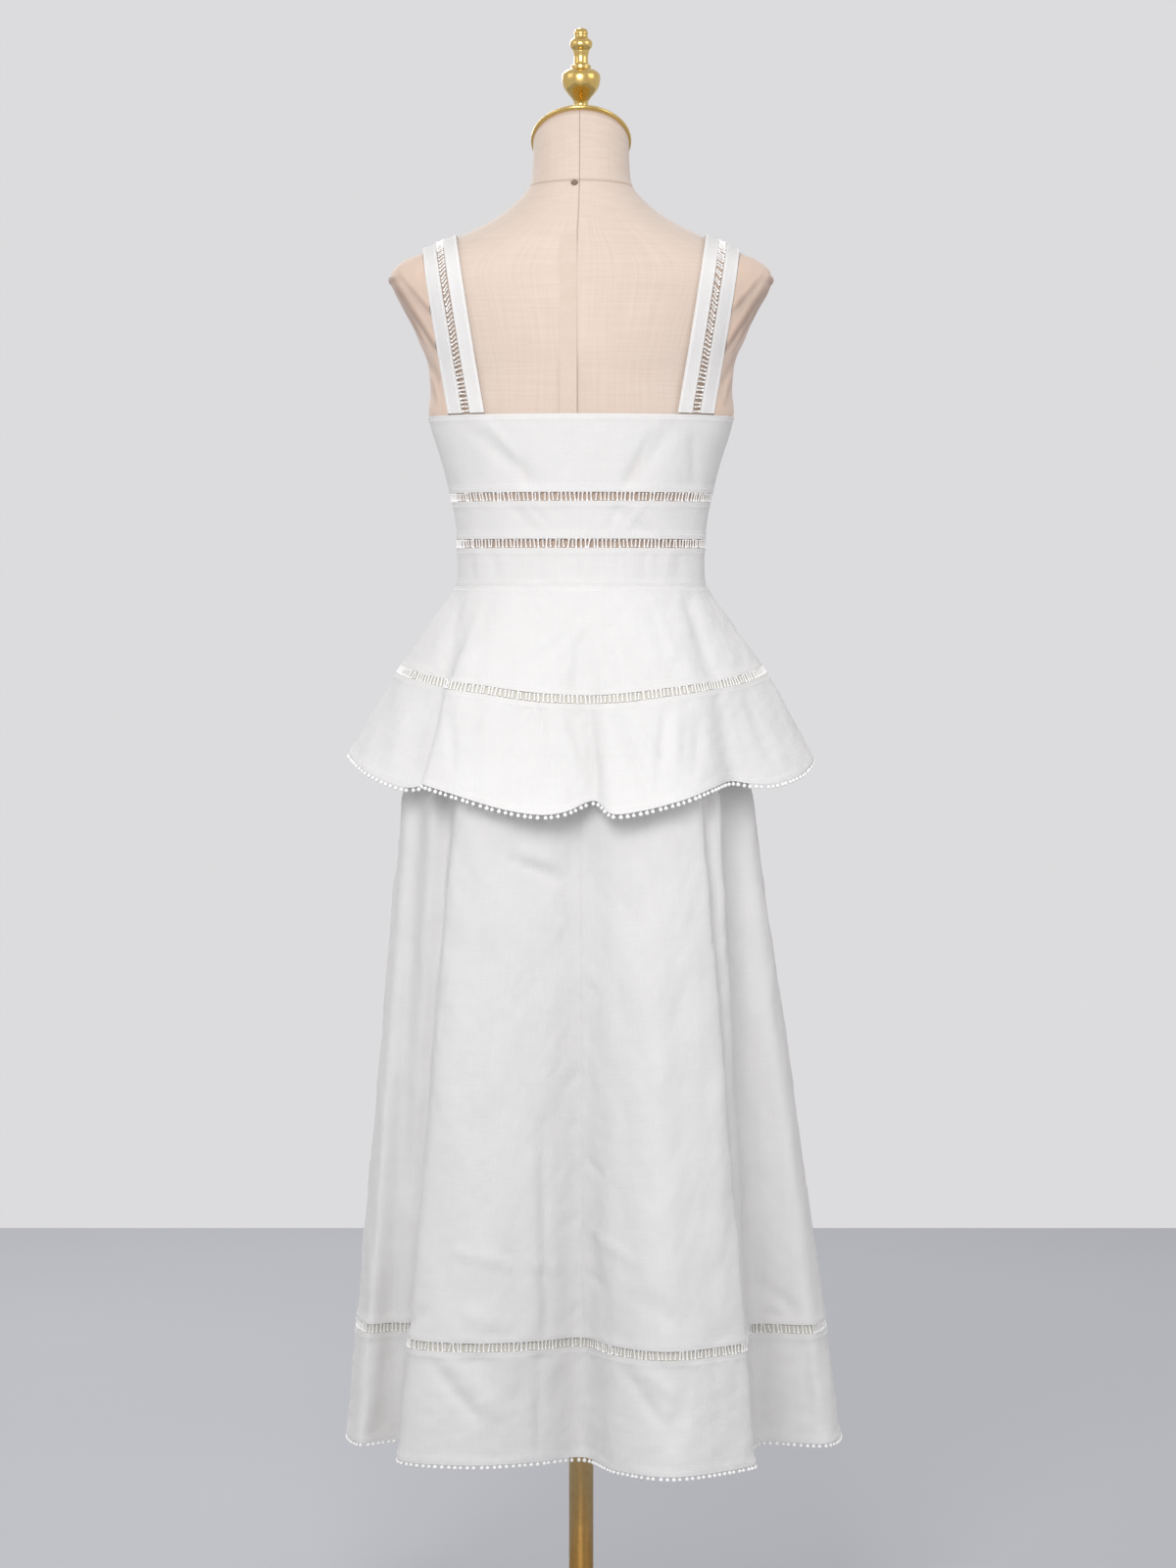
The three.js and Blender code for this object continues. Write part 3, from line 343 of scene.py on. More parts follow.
def top_edge(turn):
    away = np.abs(np.where(turn > 180, turn - 360, turn))
    climb = smooth((away - FRONT_RISE[0]) / (FRONT_RISE[1] - FRONT_RISE[0]))
    return mix(BACK_TOP_Z, FRONT_TOP_Z, climb)


def along_folds(table, names, across, closed):
    """Points between the fold rows; `across` counts rows."""
    count = len(table["turn"])
    i = np.clip(np.floor(across).astype(int), 0, count - 1 if closed else count - 2)
    f = across - i

    def row(values, k):
        return values[k % count] if closed else values[np.clip(k, 0, count - 1)]

    found = [through_four(*(row(table[n], i + k) for k in (-1, 0, 1, 2)), f) for n in names]
    turn = table["turn"]
    after = np.append(turn[1:], turn[0] + 360 if closed else turn[-1])
    return found, mix(turn[i], after[i], f)


def skirt(across, z):
    (hip_x, hip_y, hem_x, hem_y), turn = along_folds(SKIRT, SKIRT_COLUMNS[1:], across % SKIRT_COUNT, True)
    waist = around_form(turn, np.full_like(across, WAIST_Z), SKIRT_WAIST_EASE)
    low = (HIP_Z - z) / (HIP_Z - HEM_Z)
    high = (WAIST_Z - z) / (WAIST_Z - HIP_Z)
    x = np.where(z < HIP_Z, mix(hip_x, hem_x, low), mix(waist[..., 0], hip_x, high))
    y = np.where(z < HIP_Z, mix(hip_y, hem_y, low), mix(waist[..., 1], hip_y, high))
    return np.stack([x, y, z], -1)


def peplum(across, down):
    """down is 0 at the waist seam, 1 in the middle of the insertion and 2 at the hem."""
    found, turn = along_folds(PEPLUM, PEPLUM_COLUMNS[1:], across, False)
    waist = around_form(turn, np.full_like(across, WAIST_Z), bodice_ease(WAIST_Z))
    middle, hem = np.stack(found[:3], -1), np.stack(found[3:], -1)
    d = down[..., None]
    return np.where(d < 1, mix(waist, middle, d), mix(middle, hem, d - 1))


def strap_side(share, z, front):
    start = np.where(front, FRONT_TOP_Z, BACK_TOP_Z)
    rise = np.clip((z - start) / (STRAP_TOP_Z - start), 0, 1)
    line = {k: mix(v[0], v[1], share) for k, v in STRAP_LINES.items()}
    return mix(np.where(front, line["front"], line["back"]), line["top"], rise)


def strap(side, share, along):
    """Points of a strap wrapped over the form; along runs from the back (0) to the front (1)."""

    def start_angle(front):
        z = np.full_like(share, (FRONT_TOP_Z if front else BACK_TOP_Z) + 0.3)
        x = strap_side(share, z, np.full(share.shape, front))
        y = form_size("front" if front else "back", z) * np.sqrt(1 - (x / form_size("wide", z)) ** 2)
        return np.arctan2(z - STRAP_PIVOT_Z, -y if front else y)

    end = start_angle(True)
    angle = mix(start_angle(False), np.where(end < 0, end + 2 * math.pi, end), along)
    near, far = np.full_like(share, 20.0), np.full_like(share, 220.0)
    for _ in range(40):
        half = (near + far) / 2
        y, z = half * np.cos(angle), STRAP_PIVOT_Z + half * np.sin(angle)
        x = strap_side(share, z, y < 0)
        depth = np.where(y < 0, form_size("front", z), form_size("back", z))
        inside = (z < FORM["z"][0]) & ((x / form_size("wide", z)) ** 2 + (y / depth) ** 2 < 1)
        near, far = np.where(inside, half, near), np.where(inside, far, half)
    y, z = near * np.cos(angle), STRAP_PIVOT_Z + near * np.sin(angle)
    return np.stack([side * strap_side(share, z, y < 0), y, z], -1)


def across_at(surface, x, down, low, high):
    """The places across where a surface's x is `x`, between two other places."""
    low, high = np.full_like(x, low), np.full_like(x, high)
    climbs = surface(high, down)[..., 0] > surface(low, down)[..., 0]
    for _ in range(30):
        half = (low + high) / 2
        before = (surface(half, down)[..., 0] < x) == climbs
        low, high = np.where(before, half, low), np.where(before, high, half)
    return (low + high) / 2


def bodice_front(x, z):
    return bodice(across_at(bodice, x, z, 160.0, 200.0), z)


def skirt_front(x, z):
    return skirt(across_at(skirt, x, z, SKIRT_FRONT - 1.0, SKIRT_FRONT + 1.0), z)


# ------------------------------------------------------------------ creases and ripples
def crease_height(points, rows):
    """How far the creases of a table raise a grid of points (mm)."""
    raised = np.zeros(points.shape[:-1])
    for x0, z0, x1, z1, half_width, depth, facing in rows:
        run = np.array([x1 - x0, z1 - z0], float)
        to = points[..., [0, 2]] - (x0, z0)
        f = (to @ run) / (run @ run)
        gap = to - np.clip(f, 0, 1)[..., None] * run
        distance = np.hypot(gap[..., 0], gap[..., 1])
        taper = np.sqrt(np.clip(1 - (2 * np.clip(f, 0, 1) - 1) ** 2, 0, 1)) * 0.8 + 0.2
        on_side = smooth(points[..., 1] * facing / 20) if facing else 1.0
        raised -= depth * np.exp(-((distance / half_width) ** 2)) * taper * on_side
    return raised


def ripple(points, height, length, seed, stretch=(1.0, 1.0, 1.0)):
    """A soft unevenness about `height` mm tall, from waves of about `length` mm in seeded directions."""
    draw = np.random.default_rng(seed)
    total = np.zeros(points.shape[:-1])
    waves = 14
    for _ in range(waves):
        way = draw.normal(size=3) * stretch
        way *= draw.uniform(0.6, 1.6) * 2 * math.pi / (length * np.linalg.norm(way))
        total += np.sin(points @ way + draw.uniform(0, 2 * math.pi))
    return height * total / math.sqrt(waves)


# ------------------------------------------------------------------ meshes
def grid_normals(points):
    """The way out at each point of a grid whose rows run down and columns run from +Y towards +X."""
    down = np.gradient(points, axis=0)
    across = np.gradient(points, axis=1)
    out = np.cross(across, down)
    return out / np.maximum(np.linalg.norm(out, axis=-1, keepdims=True), 1e-9)


def new_object(name, points, quads, uvs=None, sharp=None, shade=None):
    """A smooth-shaded object from points in mm and faces; uvs are for each face's corners.

    `shade` is how much of the darker colour each point takes.
    """
    mesh = bpy.data.meshes.new(name)
    mesh.from_pydata((np.asarray(points) * MM).tolist(), [], quads)
    if uvs is not None:
        layer = mesh.uv_layers.new(name="Cloth")
        layer.data.foreach_set("uv", np.asarray(uvs, float).ravel())
    if shade is not None:
        layer = mesh.attributes.new("shade", "FLOAT", "POINT")
        layer.data.foreach_set("value", np.asarray(shade, float).ravel())
    mesh.polygons.foreach_set("use_smooth", [True] * len(mesh.polygons))
    if sharp is not None:
        mesh.set_sharp_from_angle(angle=math.radians(sharp))
    mesh.update()
    piece = bpy.data.objects.new(name, mesh)
    bpy.context.scene.collection.objects.link(piece)
    return piece


def lengths(points, axis):
    step = np.linalg.norm(np.diff(points, axis=axis), axis=-1)
    start = np.zeros_like(np.take(step, [0], axis))
    return np.concatenate([start, np.cumsum(step, axis=axis)], axis)


def shell(name, points, raised, thick, shade=None):
    """A closed wall from a grid of surface points (mm): its outer face is `raised` out from them."""
    out = grid_normals(points)
    raised = np.broadcast_to(raised, points.shape[:-1])[..., None]
    faces = np.stack([points + out * raised, points + out * (raised - thick)])
    rows, columns = points.shape[0], points.shape[1]
    index = np.arange(2 * rows * columns).reshape(2, rows, columns)
    across = lengths(points, 1)
    across = across - across[:, columns // 2][:, None]
    down = lengths(points, 0)
    flat = np.stack([across, down], -1) * MM
    uv_all = np.concatenate([flat.reshape(-1, 2)] * 2)

    def cells(grid, flip):
        a, b, c, d = grid[:-1, :-1], grid[:-1, 1:], grid[1:, 1:], grid[1:, :-1]
        order = (a, b, c, d) if flip else (a, d, c, b)
        return np.stack([x.ravel() for x in order], 1)

    def rim(outer, inner):
        return np.stack([outer[:-1], outer[1:], inner[1:], inner[:-1]], 1)

    outer, inner = index
    quads = np.concatenate(
        [
            cells(outer, False),
            cells(inner, True),
            rim(outer[0], inner[0]),
            rim(outer[-1][::-1], inner[-1][::-1]),
            rim(outer[::-1, 0], inner[::-1, 0]),
            rim(outer[:, -1], inner[:, -1]),
        ]
    )
    shades = None if shade is None else np.concatenate([shade.ravel()] * 2)
    uvs = uv_all[quads.ravel()]
    return new_object(name, faces.reshape(-1, 3), quads.tolist(), uvs, sharp=55, shade=shades)


def cut_size(points):
    """Width, length and area in metres of a grid laid flat."""
    width = lengths(points, 1)[:, -1].max() * MM
    length = lengths(points, 0)[-1, :].max() * MM
    diagonal = np.cross(points[1:, 1:] - points[:-1, :-1], points[1:, :-1] - points[:-1, 1:])
    area = float(np.linalg.norm(diagonal, axis=-1).sum() / 2) * MM * MM
    return (float(width), float(length)), min(area, 0.999 * float(width * length))


HEM_CELLS = (0, 1.2, 2.6, 3.6, 4.3, 5.0, 6.0, 7.5)  # distances of the first rows from a folded hem
SEAM_CELLS = (0, 0.5, 1.1, 2.0, 3.5)  # and of the first columns from a seam
STITCH_ROW = 4


def spread(total, step, edge):
    """Distances over a length, with set ones near both ends and even steps between."""
    if total < 3 * edge[-1]:
        return np.linspace(0, total, max(3, int(total / step) + 2))
    count = max(2, int(math.ceil((total - 2 * edge[-1]) / step)) + 1)
    near = np.array(edge[:-1], float)
    return np.concatenate([near, np.linspace(edge[-1], total - edge[-1], count), total - near[::-1]])


def grid(left, right, top, bottom, spacing_across, spacing_down, surface):
    """Points of a surface between limits; top and bottom are numbers or functions of across."""
    probe = np.linspace(left, right, 80)
    limit = lambda edge, u: edge(u) if callable(edge) else np.full_like(u, float(edge))
    line = surface(probe, mix(limit(top, probe), limit(bottom, probe), 0.95))
    width = np.linalg.norm(np.diff(line, axis=0), axis=-1).sum()
    ends = surface(np.array([probe[40]] * 2), np.array([limit(top, probe)[40], limit(bottom, probe)[40]]))
    height = np.linalg.norm(ends[1] - ends[0])
    # Columns are spread along the cloth, not along the table's rows.
    u = np.interp(spread(width, spacing_across, SEAM_CELLS), lengths(line[None], 1)[0], probe)
    share = (spread(height, spacing_down, HEM_CELLS) / height)[:, None]
    across = np.broadcast_to(u, (len(share), len(u))).copy()
    down = mix(limit(top, u)[None], limit(bottom, u)[None], share)
    return surface(across, down)


def declare(piece, slot, nodes):
    """Say which body a piece rides on, which nodes it stands for and which slot it has."""
    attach(piece, BODY)
    if nodes:
        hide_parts(*nodes)
    return piece


def finish_piece(piece, look, slot, nodes):
    """Give a piece its material, and declare it."""
    piece.data.materials.append(material(look))
    return declare(piece, slot, nodes)


def declare_sheet(piece, points, **said):
    """Say that a piece is a sheet of cloth, with the size that its grid has when laid flat."""
    flat, area = cut_size(points)


def reshape(piece, move):
    """Move every vertex of a made piece: `move` takes its x, y, z in metres and gives the new ones."""
    for vertex in piece.data.vertices:
        vertex.co = move(*vertex.co)
    return piece


# ------------------------------------------------------------------ node trees
class Value:
    """A socket's value. Sums on it add their Math nodes."""

    def __init__(self, tree, socket):
        self.tree, self.socket = tree, socket

    def maths(self, operation, first, second):
        return Tree(self.tree).node("ShaderNodeMath", {"operation": operation}, i0=first, i1=second)

    def __add__(self, other):
        return self.maths("ADD", self, other)

    def __mul__(self, other):
        return self.maths("MULTIPLY", self, other)

    def __sub__(self, other):
        return self.maths("SUBTRACT", self, other)

    def __rsub__(self, other):
        return self.maths("SUBTRACT", other, self)

    def __pow__(self, other):
        return self.maths("POWER", self, other)

    __radd__, __rmul__ = __add__, __mul__


class Tree:
    """A node tree, with the one method that adds a node to it."""

    def __init__(self, tree):
        self.tree = tree

    def node(self, kind, settings=None, output=0, **sockets):
        """A node of that type: its settings first, then its sockets by name, or as i0, i1 by place."""
        made = self.tree.nodes.new(kind)
        for key, value in (settings or {}).items():
            setattr(made, key, value)
        for key, value in sockets.items():
            socket = made.inputs[int(key[1:]) if key[1:].isdigit() else key.replace("_", " ")]
            if isinstance(value, Value):
                self.tree.links.new(value.socket, socket)
            else:
                socket.default_value = value
        return Value(self.tree, made.outputs[output])


class Finish(Tree):
    """A material with a Principled shader, and the steps that its colours and bumps are made of."""

    def __init__(self, name, **sockets):
        self.material = bpy.data.materials.new(name)
        self.material.use_nodes = True
        super().__init__(self.material.node_tree)
        self.shader = self.tree.nodes["Principled BSDF"]
        for key, value in sockets.items():
            self.shader.inputs[key.replace("_", " ")].default_value = value

    def place(self, source, scale=(1, 1, 1)):
        """The piece's Object or UV coordinates, times a scale."""
        where = self.node("ShaderNodeTexCoord", output={"Object": 3, "UV": 2}[source])
        return self.node("ShaderNodeMapping", Vector=where, Scale=scale)

    def noise(self, where, scale, detail):
        return self.node("ShaderNodeTexNoise", Vector=where, Scale=scale, Detail=detail)

    def wave(self, where, scale, direction, distortion):
        settings = {"wave_type": "BANDS", "bands_direction": direction}
        return self.node(
            "ShaderNodeTexWave", settings, output=1, Vector=where, Scale=scale, Distortion=distortion
        )

    def blend(self, amount, first, second):
        """The first colour where the amount is 0, and the second where it is 1."""
        first, second = (c if isinstance(c, Value) else (*c, 1) for c in (first, second))
        return self.node("ShaderNodeMix", {"data_type": "RGBA"}, output=2, i0=amount, i6=first, i7=second)

    def feed(self, name, value):
        self.tree.links.new(value.socket, self.shader.inputs[name])

    def bump(self, height, strength, distance):
        made = self.node("ShaderNodeBump", Strength=strength, Distance=distance, Height=height)
        self.feed("Normal", made)

    def translucent(self, amount, colour):
        """Let light through: mix the shader with a translucent one."""
        through = self.node("ShaderNodeBsdfTranslucent", Color=(*colour, 1))
        own = Value(self.tree, self.shader.outputs[0])
        both = self.node("ShaderNodeMixShader", i0=amount, i1=own, i2=through)
        self.tree.links.new(both.socket, self.tree.nodes["Material Output"].inputs["Surface"])


CLOTH_ROUGHNESS = 0.86
BAND_SPAN = 6.2  # pitches of thread to one unit of a wave texture's scale
SLUB_LONG, SLUB_FINE = 14, 420  # scales of the slubs along and across a thread


def woven(name, colour, shade, pitch, bump, slub, through=0.0, source="UV", deep=None):
    """Plain-woven cloth: crossing threads `pitch` mm apart, long slubs, faint clouds, light let through.

    `deep` is the colour that the mesh's own "shade" turns it to, in its seams and folds.
    """
    made = Finish(name, Roughness=CLOTH_ROUGHNESS, Sheen_Weight=0.25, Specular_IOR_Level=0.25)
    where = made.place(source)
    weft = made.wave(where, 1 / (pitch * MM) / BAND_SPAN, "Y", 0.6)
    warp = made.wave(where, 1 / (pitch * MM) / BAND_SPAN, "X", 0.6)
    slubs_across = made.noise(made.place(source, (SLUB_LONG, SLUB_FINE, SLUB_LONG)), 1.0, 3.0)
    slubs_down = made.noise(made.place(source, (SLUB_FINE, SLUB_LONG, SLUB_FINE)), 1.0, 3.0)
    slubs = slubs_across * 0.5 + slubs_down * 0.5
    cloud = made.noise(where, 9.0, 3.0)
    tone = (slubs * slub + cloud * (1 - slub) - 0.5) * 1.9 + 0.55
    paint = made.blend(tone, shade, colour)
    if deep:
        # Painted shade: where the mesh's "shade" attribute says so, the colour turns to `deep`.
        painted_shade_mask = made.node("ShaderNodeAttribute", {"attribute_name": "shade"}, output=2)
        paint = made.blend(painted_shade_mask, paint, deep)
    made.feed("Base Color", paint)
    made.feed("Roughness", tone * 0.1 + (CLOTH_ROUGHNESS - 0.05))
    made.bump((weft * 0.5 + warp * 0.5) * 0.35 + slubs, bump, 0.0006)
    if through:
        made.translucent(through, colour)
    return made.material


# ------------------------------------------------------------------ settings
def a_length(name, description, default):
    return bpy.props.FloatProperty(name=name, description=description, default=default, unit="LENGTH")


def a_colour(name, description, default):
    return bpy.props.FloatVectorProperty(
        name=name, description=description, default=default, subtype="COLOR", size=3
    )


class DressCloth(bpy.types.PropertyGroup):
    """Sizes and colours of the dress's cloth and trims."""

    thickness: a_length("Cloth thickness", "Thickness of one layer of cloth", 0.0009)
    crease_strength: bpy.props.FloatProperty(
        name="Creases", description="How deep the creases are", default=1.5, subtype="FACTOR"
    )
    rung_pitch: a_length("Rung pitch", "Distance between the rungs of the ladder lace", 0.0043)
    rung_radius: a_length("Rung radius", "Half thickness of a rung", 0.0007)
    bead_pitch: a_length("Bead pitch", "Distance between the beads of the edging", 0.0066)
    bead_radius: a_length("Bead radius", "Radius of a bead of the edging", 0.0021)
    cloth_colour: a_colour("Cloth", "Colour of the cloth", (0.9, 0.895, 0.89))
    cloth_shade: a_colour("Cloth shade", "Its thinner, greyer places", (0.82, 0.815, 0.8))
    button_colour: a_colour("Buttons", "Colour of the buttons", (0.87, 0.84, 0.78))


class DressFormLook(bpy.types.PropertyGroup):
    """Colours of the dress form and its stand."""

    linen: a_colour("Linen", "Colour of the form's cover", (0.63, 0.535, 0.47))
    linen_shade: a_colour("Linen shade", "Darker threads of the cover", (0.52, 0.415, 0.335))
    sheer: a_colour("Voile", "Colour of the sheer armhole covers", (0.63, 0.49, 0.4))
    brass: a_colour("Brass", "Colour of the polished brass", (0.78, 0.59, 0.24))
    dull_brass: a_colour("Dull brass", "Colour of the worn pole", (0.62, 0.46, 0.23))


class DressStage(bpy.types.PropertyGroup):
    """The floor and the light."""

    floor_half: a_length("Floor", "Half the floor's side", 2.95)
    floor_colour: a_colour("Floor colour", "Colour of the floor", (0.4, 0.41, 0.435))
    air_colour: a_colour("Surroundings", "Colour of the room", (0.8, 0.79, 0.805))
    key_power: bpy.props.FloatProperty(
        name="Key light", description="Power of the light above the camera's line, in watts", default=28.83
    )
    fill_power: bpy.props.FloatProperty(
        name="Fill light", description="Power of each soft side light, in watts", default=16.0
    )


# ------------------------------------------------------------------ materials shared by pieces
MATERIALS = {}


def material(kind):
    """The shared material of that kind, made when a piece first asks for it."""
    if kind not in MATERIALS:
        MATERIALS[kind] = make_material(kind)
    return MATERIALS[kind]


def make_material(kind):
    cloth, look = bpy.context.scene.dress_cloth, bpy.context.scene.dress_form_look
    white, shade, linen_shade = (tuple(c) for c in (cloth.cloth_colour, cloth.cloth_shade, look.linen_shade))
    by_place = {"source": "Object"}
    # Each cloth's name, colour, darker places, pitch of its threads in mm, bump and share of slubs.
    cloths = {
        "ramie": ("ramie", white, shade, 0.9, 0.55, 0.6, {"through": 0.34}),
        "lace": ("ladder lace", white, shade, 0.8, 0.5, 0.4, by_place),
        "beads": ("picot beads", (0.93, 0.93, 0.92), shade, 0.7, 0.6, 0.3, by_place),
        # The lining's colour is kept darker than the dress's: painted shade, seen through the lace's openings.
        "lining_in_painted_shade": ("lining_in_painted_shade", (0.6, 0.585, 0.53), (0.52, 0.505, 0.45), 0.9, 0.3, 0.5, {}),
        "thread": ("thread", (0.92, 0.92, 0.91), shade, 0.5, 0.4, 0.3, by_place),
        # The linen's and the voile's `deep` colours are painted shade, and the colour of the form's darker seams.
        "linen": ("form linen", tuple(look.linen), linen_shade, 1.3, 0.35, 0.75, {"deep": (0.4, 0.29, 0.22)}),
        "sheer": ("sheer voile", tuple(look.sheer), (0.6, 0.46, 0.37), 1.0, 0.4, 0.7, {"deep": (0.3, 0.2, 0.155)}),
        "tape": ("form tape", (0.6, 0.505, 0.435), linen_shade, 1.0, 0.4, 0.6, by_place),
        "knot": ("neck knot", (0.24, 0.165, 0.125), (0.16, 0.11, 0.085), 1.0, 0.4, 0.6, by_place),
    }
    # Each brass's bright colour, tarnished colour and roughness.
    brasses = {
        "brass": (tuple(look.brass), (0.56, 0.35, 0.075), 0.1),
        "dull brass": (tuple(look.dull_brass), (0.4, 0.28, 0.13), 0.3),
    }
    if kind in cloths:
        *values, options = cloths[kind]
        return woven(*values, **options)
    if kind in brasses:
        return brass_material(kind, *brasses[kind])
    return button_material(tuple(cloth.button_colour))


def brass_material(name, bright, tarnished, roughness):
    """Turned brass with a cloudy tarnish and faint rings from its turning."""
    made = Finish(name, Roughness=roughness, Metallic=1.0)
    where = made.place("Object")
    cloud = made.noise(where, 22.0, 4.0)
    turning = made.noise(made.place("Object", (30, 30, 1400)), 1.0, 2.0)
    spots = made.noise(where, 160.0, 2.0) ** 3.0
    made.feed("Base Color", made.blend(cloud * 0.7 + spots * 0.6, bright, tarnished))
    made.feed("Roughness", cloud * 0.16 + turning * 0.08 + roughness)
    made.bump(turning, 0.05, 0.0002)
    return made.material


def button_material(colour):
    """Pearly buttons with a faint grain."""
    made = Finish("buttons", Roughness=0.32, Specular_IOR_Level=0.55)
    grain = made.noise(made.place("Object", (300, 300, 90)), 1.0, 3.0)
    cloud = made.noise(made.place("Object"), 120.0, 2.0)
    made.feed("Base Color", made.blend(grain * 0.6 + cloud * 0.4, (0.74, 0.7, 0.63), colour))
    made.feed("Roughness", cloud * 0.2 + 0.24)
    made.bump(grain, 0.08, 0.0002)
    return made.material


# ------------------------------------------------------------------ what repeats: rungs, stitches, beads, buttons
REPEAT_INPUTS = {
    "Geometry": ("NodeSocketGeometry", None),
    "Radius": ("NodeSocketFloat", 0.001),
    "Height": ("NodeSocketFloat", 0.01),
    "Unevenness": ("NodeSocketFloat", 0.1),
    "Seed": ("NodeSocketInt", 0),
    "Material": ("NodeSocketMaterial", None),
}


def repeat_tree(name, part_builder):
    """A geometry-nodes tree that puts one part on every point, turned to the point's axis and way out."""
    tree = bpy.data.node_groups.new(name, "GeometryNodeTree")
    for label, (kind, start) in REPEAT_INPUTS.items():
        socket = tree.interface.new_socket(label, in_out="INPUT", socket_type=kind)
        if start is not None:
            socket.default_value = start
    tree.interface.new_socket("Geometry", in_out="OUTPUT", socket_type="NodeSocketGeometry")
    made, group = Tree(tree), tree.nodes.new("NodeGroupInput")
    given = {label: Value(tree, group.outputs[label]) for label in REPEAT_INPUTS}
    axis, way_out = (
        made.node("GeometryNodeInputNamedAttribute", {"data_type": "FLOAT_VECTOR"}, Name=label)
        for label in ("axis", "way_out")
    )
    axes = {"primary_axis": "Z", "secondary_axis": "X"}
    turn = made.node("FunctionNodeAxesToRotation", axes, i0=axis, i1=way_out)
    size = made.node(
        "FunctionNodeRandomValue", {"data_type": "FLOAT"}, output=1,
        i2=1.0 - given["Unevenness"], i3=1.0, Seed=given["Seed"],
    )
    spots = made.node(
        "GeometryNodeInstanceOnPoints", Points=given["Geometry"], Instance=part_builder(made, given),
        Rotation=turn, Scale=size,
    )
    real = made.node("GeometryNodeRealizeInstances", i0=spots)
    painted = made.node("GeometryNodeSetMaterial", Geometry=real, Material=given["Material"])
    tree.links.new(painted.socket, tree.nodes.new("NodeGroupOutput").inputs[0])
    return tree


def bar(made, given, sides):
    """A round bar of the given radius and height, centred on its place."""
    return made.node("GeometryNodeMeshCylinder", Vertices=sides, Radius=given["Radius"], Depth=given["Height"])


def moved(made, mesh, rise, turn=0.0):
    """A mesh turned over by `turn` about X and raised by `rise`."""
    up = made.node("ShaderNodeCombineXYZ", Z=rise)
    return made.node("GeometryNodeTransform", Geometry=mesh, Translation=up, Rotation=(turn, 0, 0))


def together(made, *meshes):
    """Several meshes as one."""
    join = made.tree.nodes.new("GeometryNodeJoinGeometry")
    for mesh in meshes:
        made.tree.links.new(mesh.socket, join.inputs[0])
    return Value(made.tree, join.outputs[0])


def rung_part(made, given):
    """A bound bundle of threads that spreads out where it meets the cloth."""
    radius, height = given["Radius"], given["Height"]
    ends = []
    for turn, share in ((0.0, -0.5), (math.pi, 0.5)):
        foot = made.node(
            "GeometryNodeMeshCone", Vertices=6, Radius_Top=radius * 0.8, Radius_Bottom=radius * 2.1,
            Depth=height * 0.3,
        )
        ends.append(moved(made, foot, height * share, turn))
    return together(made, bar(made, given, 6), *ends)


def stitch_part(made, given):
    """One stitch of thread."""
    return bar(made, given, 5)


def bead_part(made, given):
    """A thread bead on a short thread that drops from the hem."""
    ball = made.node("GeometryNodeMeshIcoSphere", Radius=given["Radius"], Subdivisions=3)
    thread = made.node("GeometryNodeMeshCylinder", Vertices=5, Radius=0.0004, Depth=given["Height"])
    return together(made, ball, moved(made, thread, given["Height"] * 0.5))


def pattern_part(pattern):
    """A part builder that repeats the mesh of one made object."""

    def part(made, given):
        return made.node("GeometryNodeObjectInfo", output="Geometry", Object=pattern)

    return part


def repeated(name, part_builder, places, axes, outs, radius, height, unevenness, seed, look):
    """Run a repeat tree on points (mm) and return its result as a plain mesh object."""
    mesh = bpy.data.meshes.new(name + "_places")
    mesh.from_pydata((places * MM).tolist(), [], [])
    for label, values in (("axis", axes), ("way_out", outs)):
        layer = mesh.attributes.new(label, "FLOAT_VECTOR", "POINT")
        layer.data.foreach_set("vector", np.asarray(values, float).ravel())
    holder = bpy.data.objects.new(name + "_places", mesh)
    bpy.context.scene.collection.objects.link(holder)
    tree = repeat_tree(name, part_builder)
    modifier = holder.modifiers.new("Repeat", "NODES")
    modifier.node_group = tree
    wanted = {"Radius": radius, "Height": height, "Unevenness": unevenness, "Seed": seed, "Material": look}
    for item in tree.interface.items_tree:
        if item.item_type == "SOCKET" and item.in_out == "INPUT" and item.name in wanted:
            modifier[item.identifier] = wanted[item.name]
    bpy.context.view_layer.update()
    ready = holder.evaluated_get(bpy.context.evaluated_depsgraph_get())
    result = bpy.data.meshes.new_from_object(ready)
    holder.modifiers.remove(modifier)
    bpy.data.objects.remove(holder)
    result.polygons.foreach_set("use_smooth", [True] * len(result.polygons))
    result.set_sharp_from_angle(angle=math.radians(50))
    piece = bpy.data.objects.new(name, result)
    bpy.context.scene.collection.objects.link(piece)
    return piece


def evenly(line, pitch, seed=0, uneven=0.0):
    """Places about `pitch` mm apart along a line of points, as fractional indexes."""
    travel = lengths(line[None], 1)[0]
    count = max(2, int(round(travel[-1] / pitch)))
    shift = np.random.default_rng(seed).uniform(-uneven, uneven, count)
    spots = (np.arange(count) + 0.5 + shift) / count * travel[-1]
    return np.interp(spots, travel, np.arange(len(line)))


def at_index(values, spots):
    """A line's values at fractional indexes."""
    whole = np.arange(len(values))
    return np.stack([np.interp(spots, whole, values[:, k]) for k in range(values.shape[1])], -1)


def unit(v):
    return v / np.maximum(np.linalg.norm(v, axis=-1, keepdims=True), 1e-9)


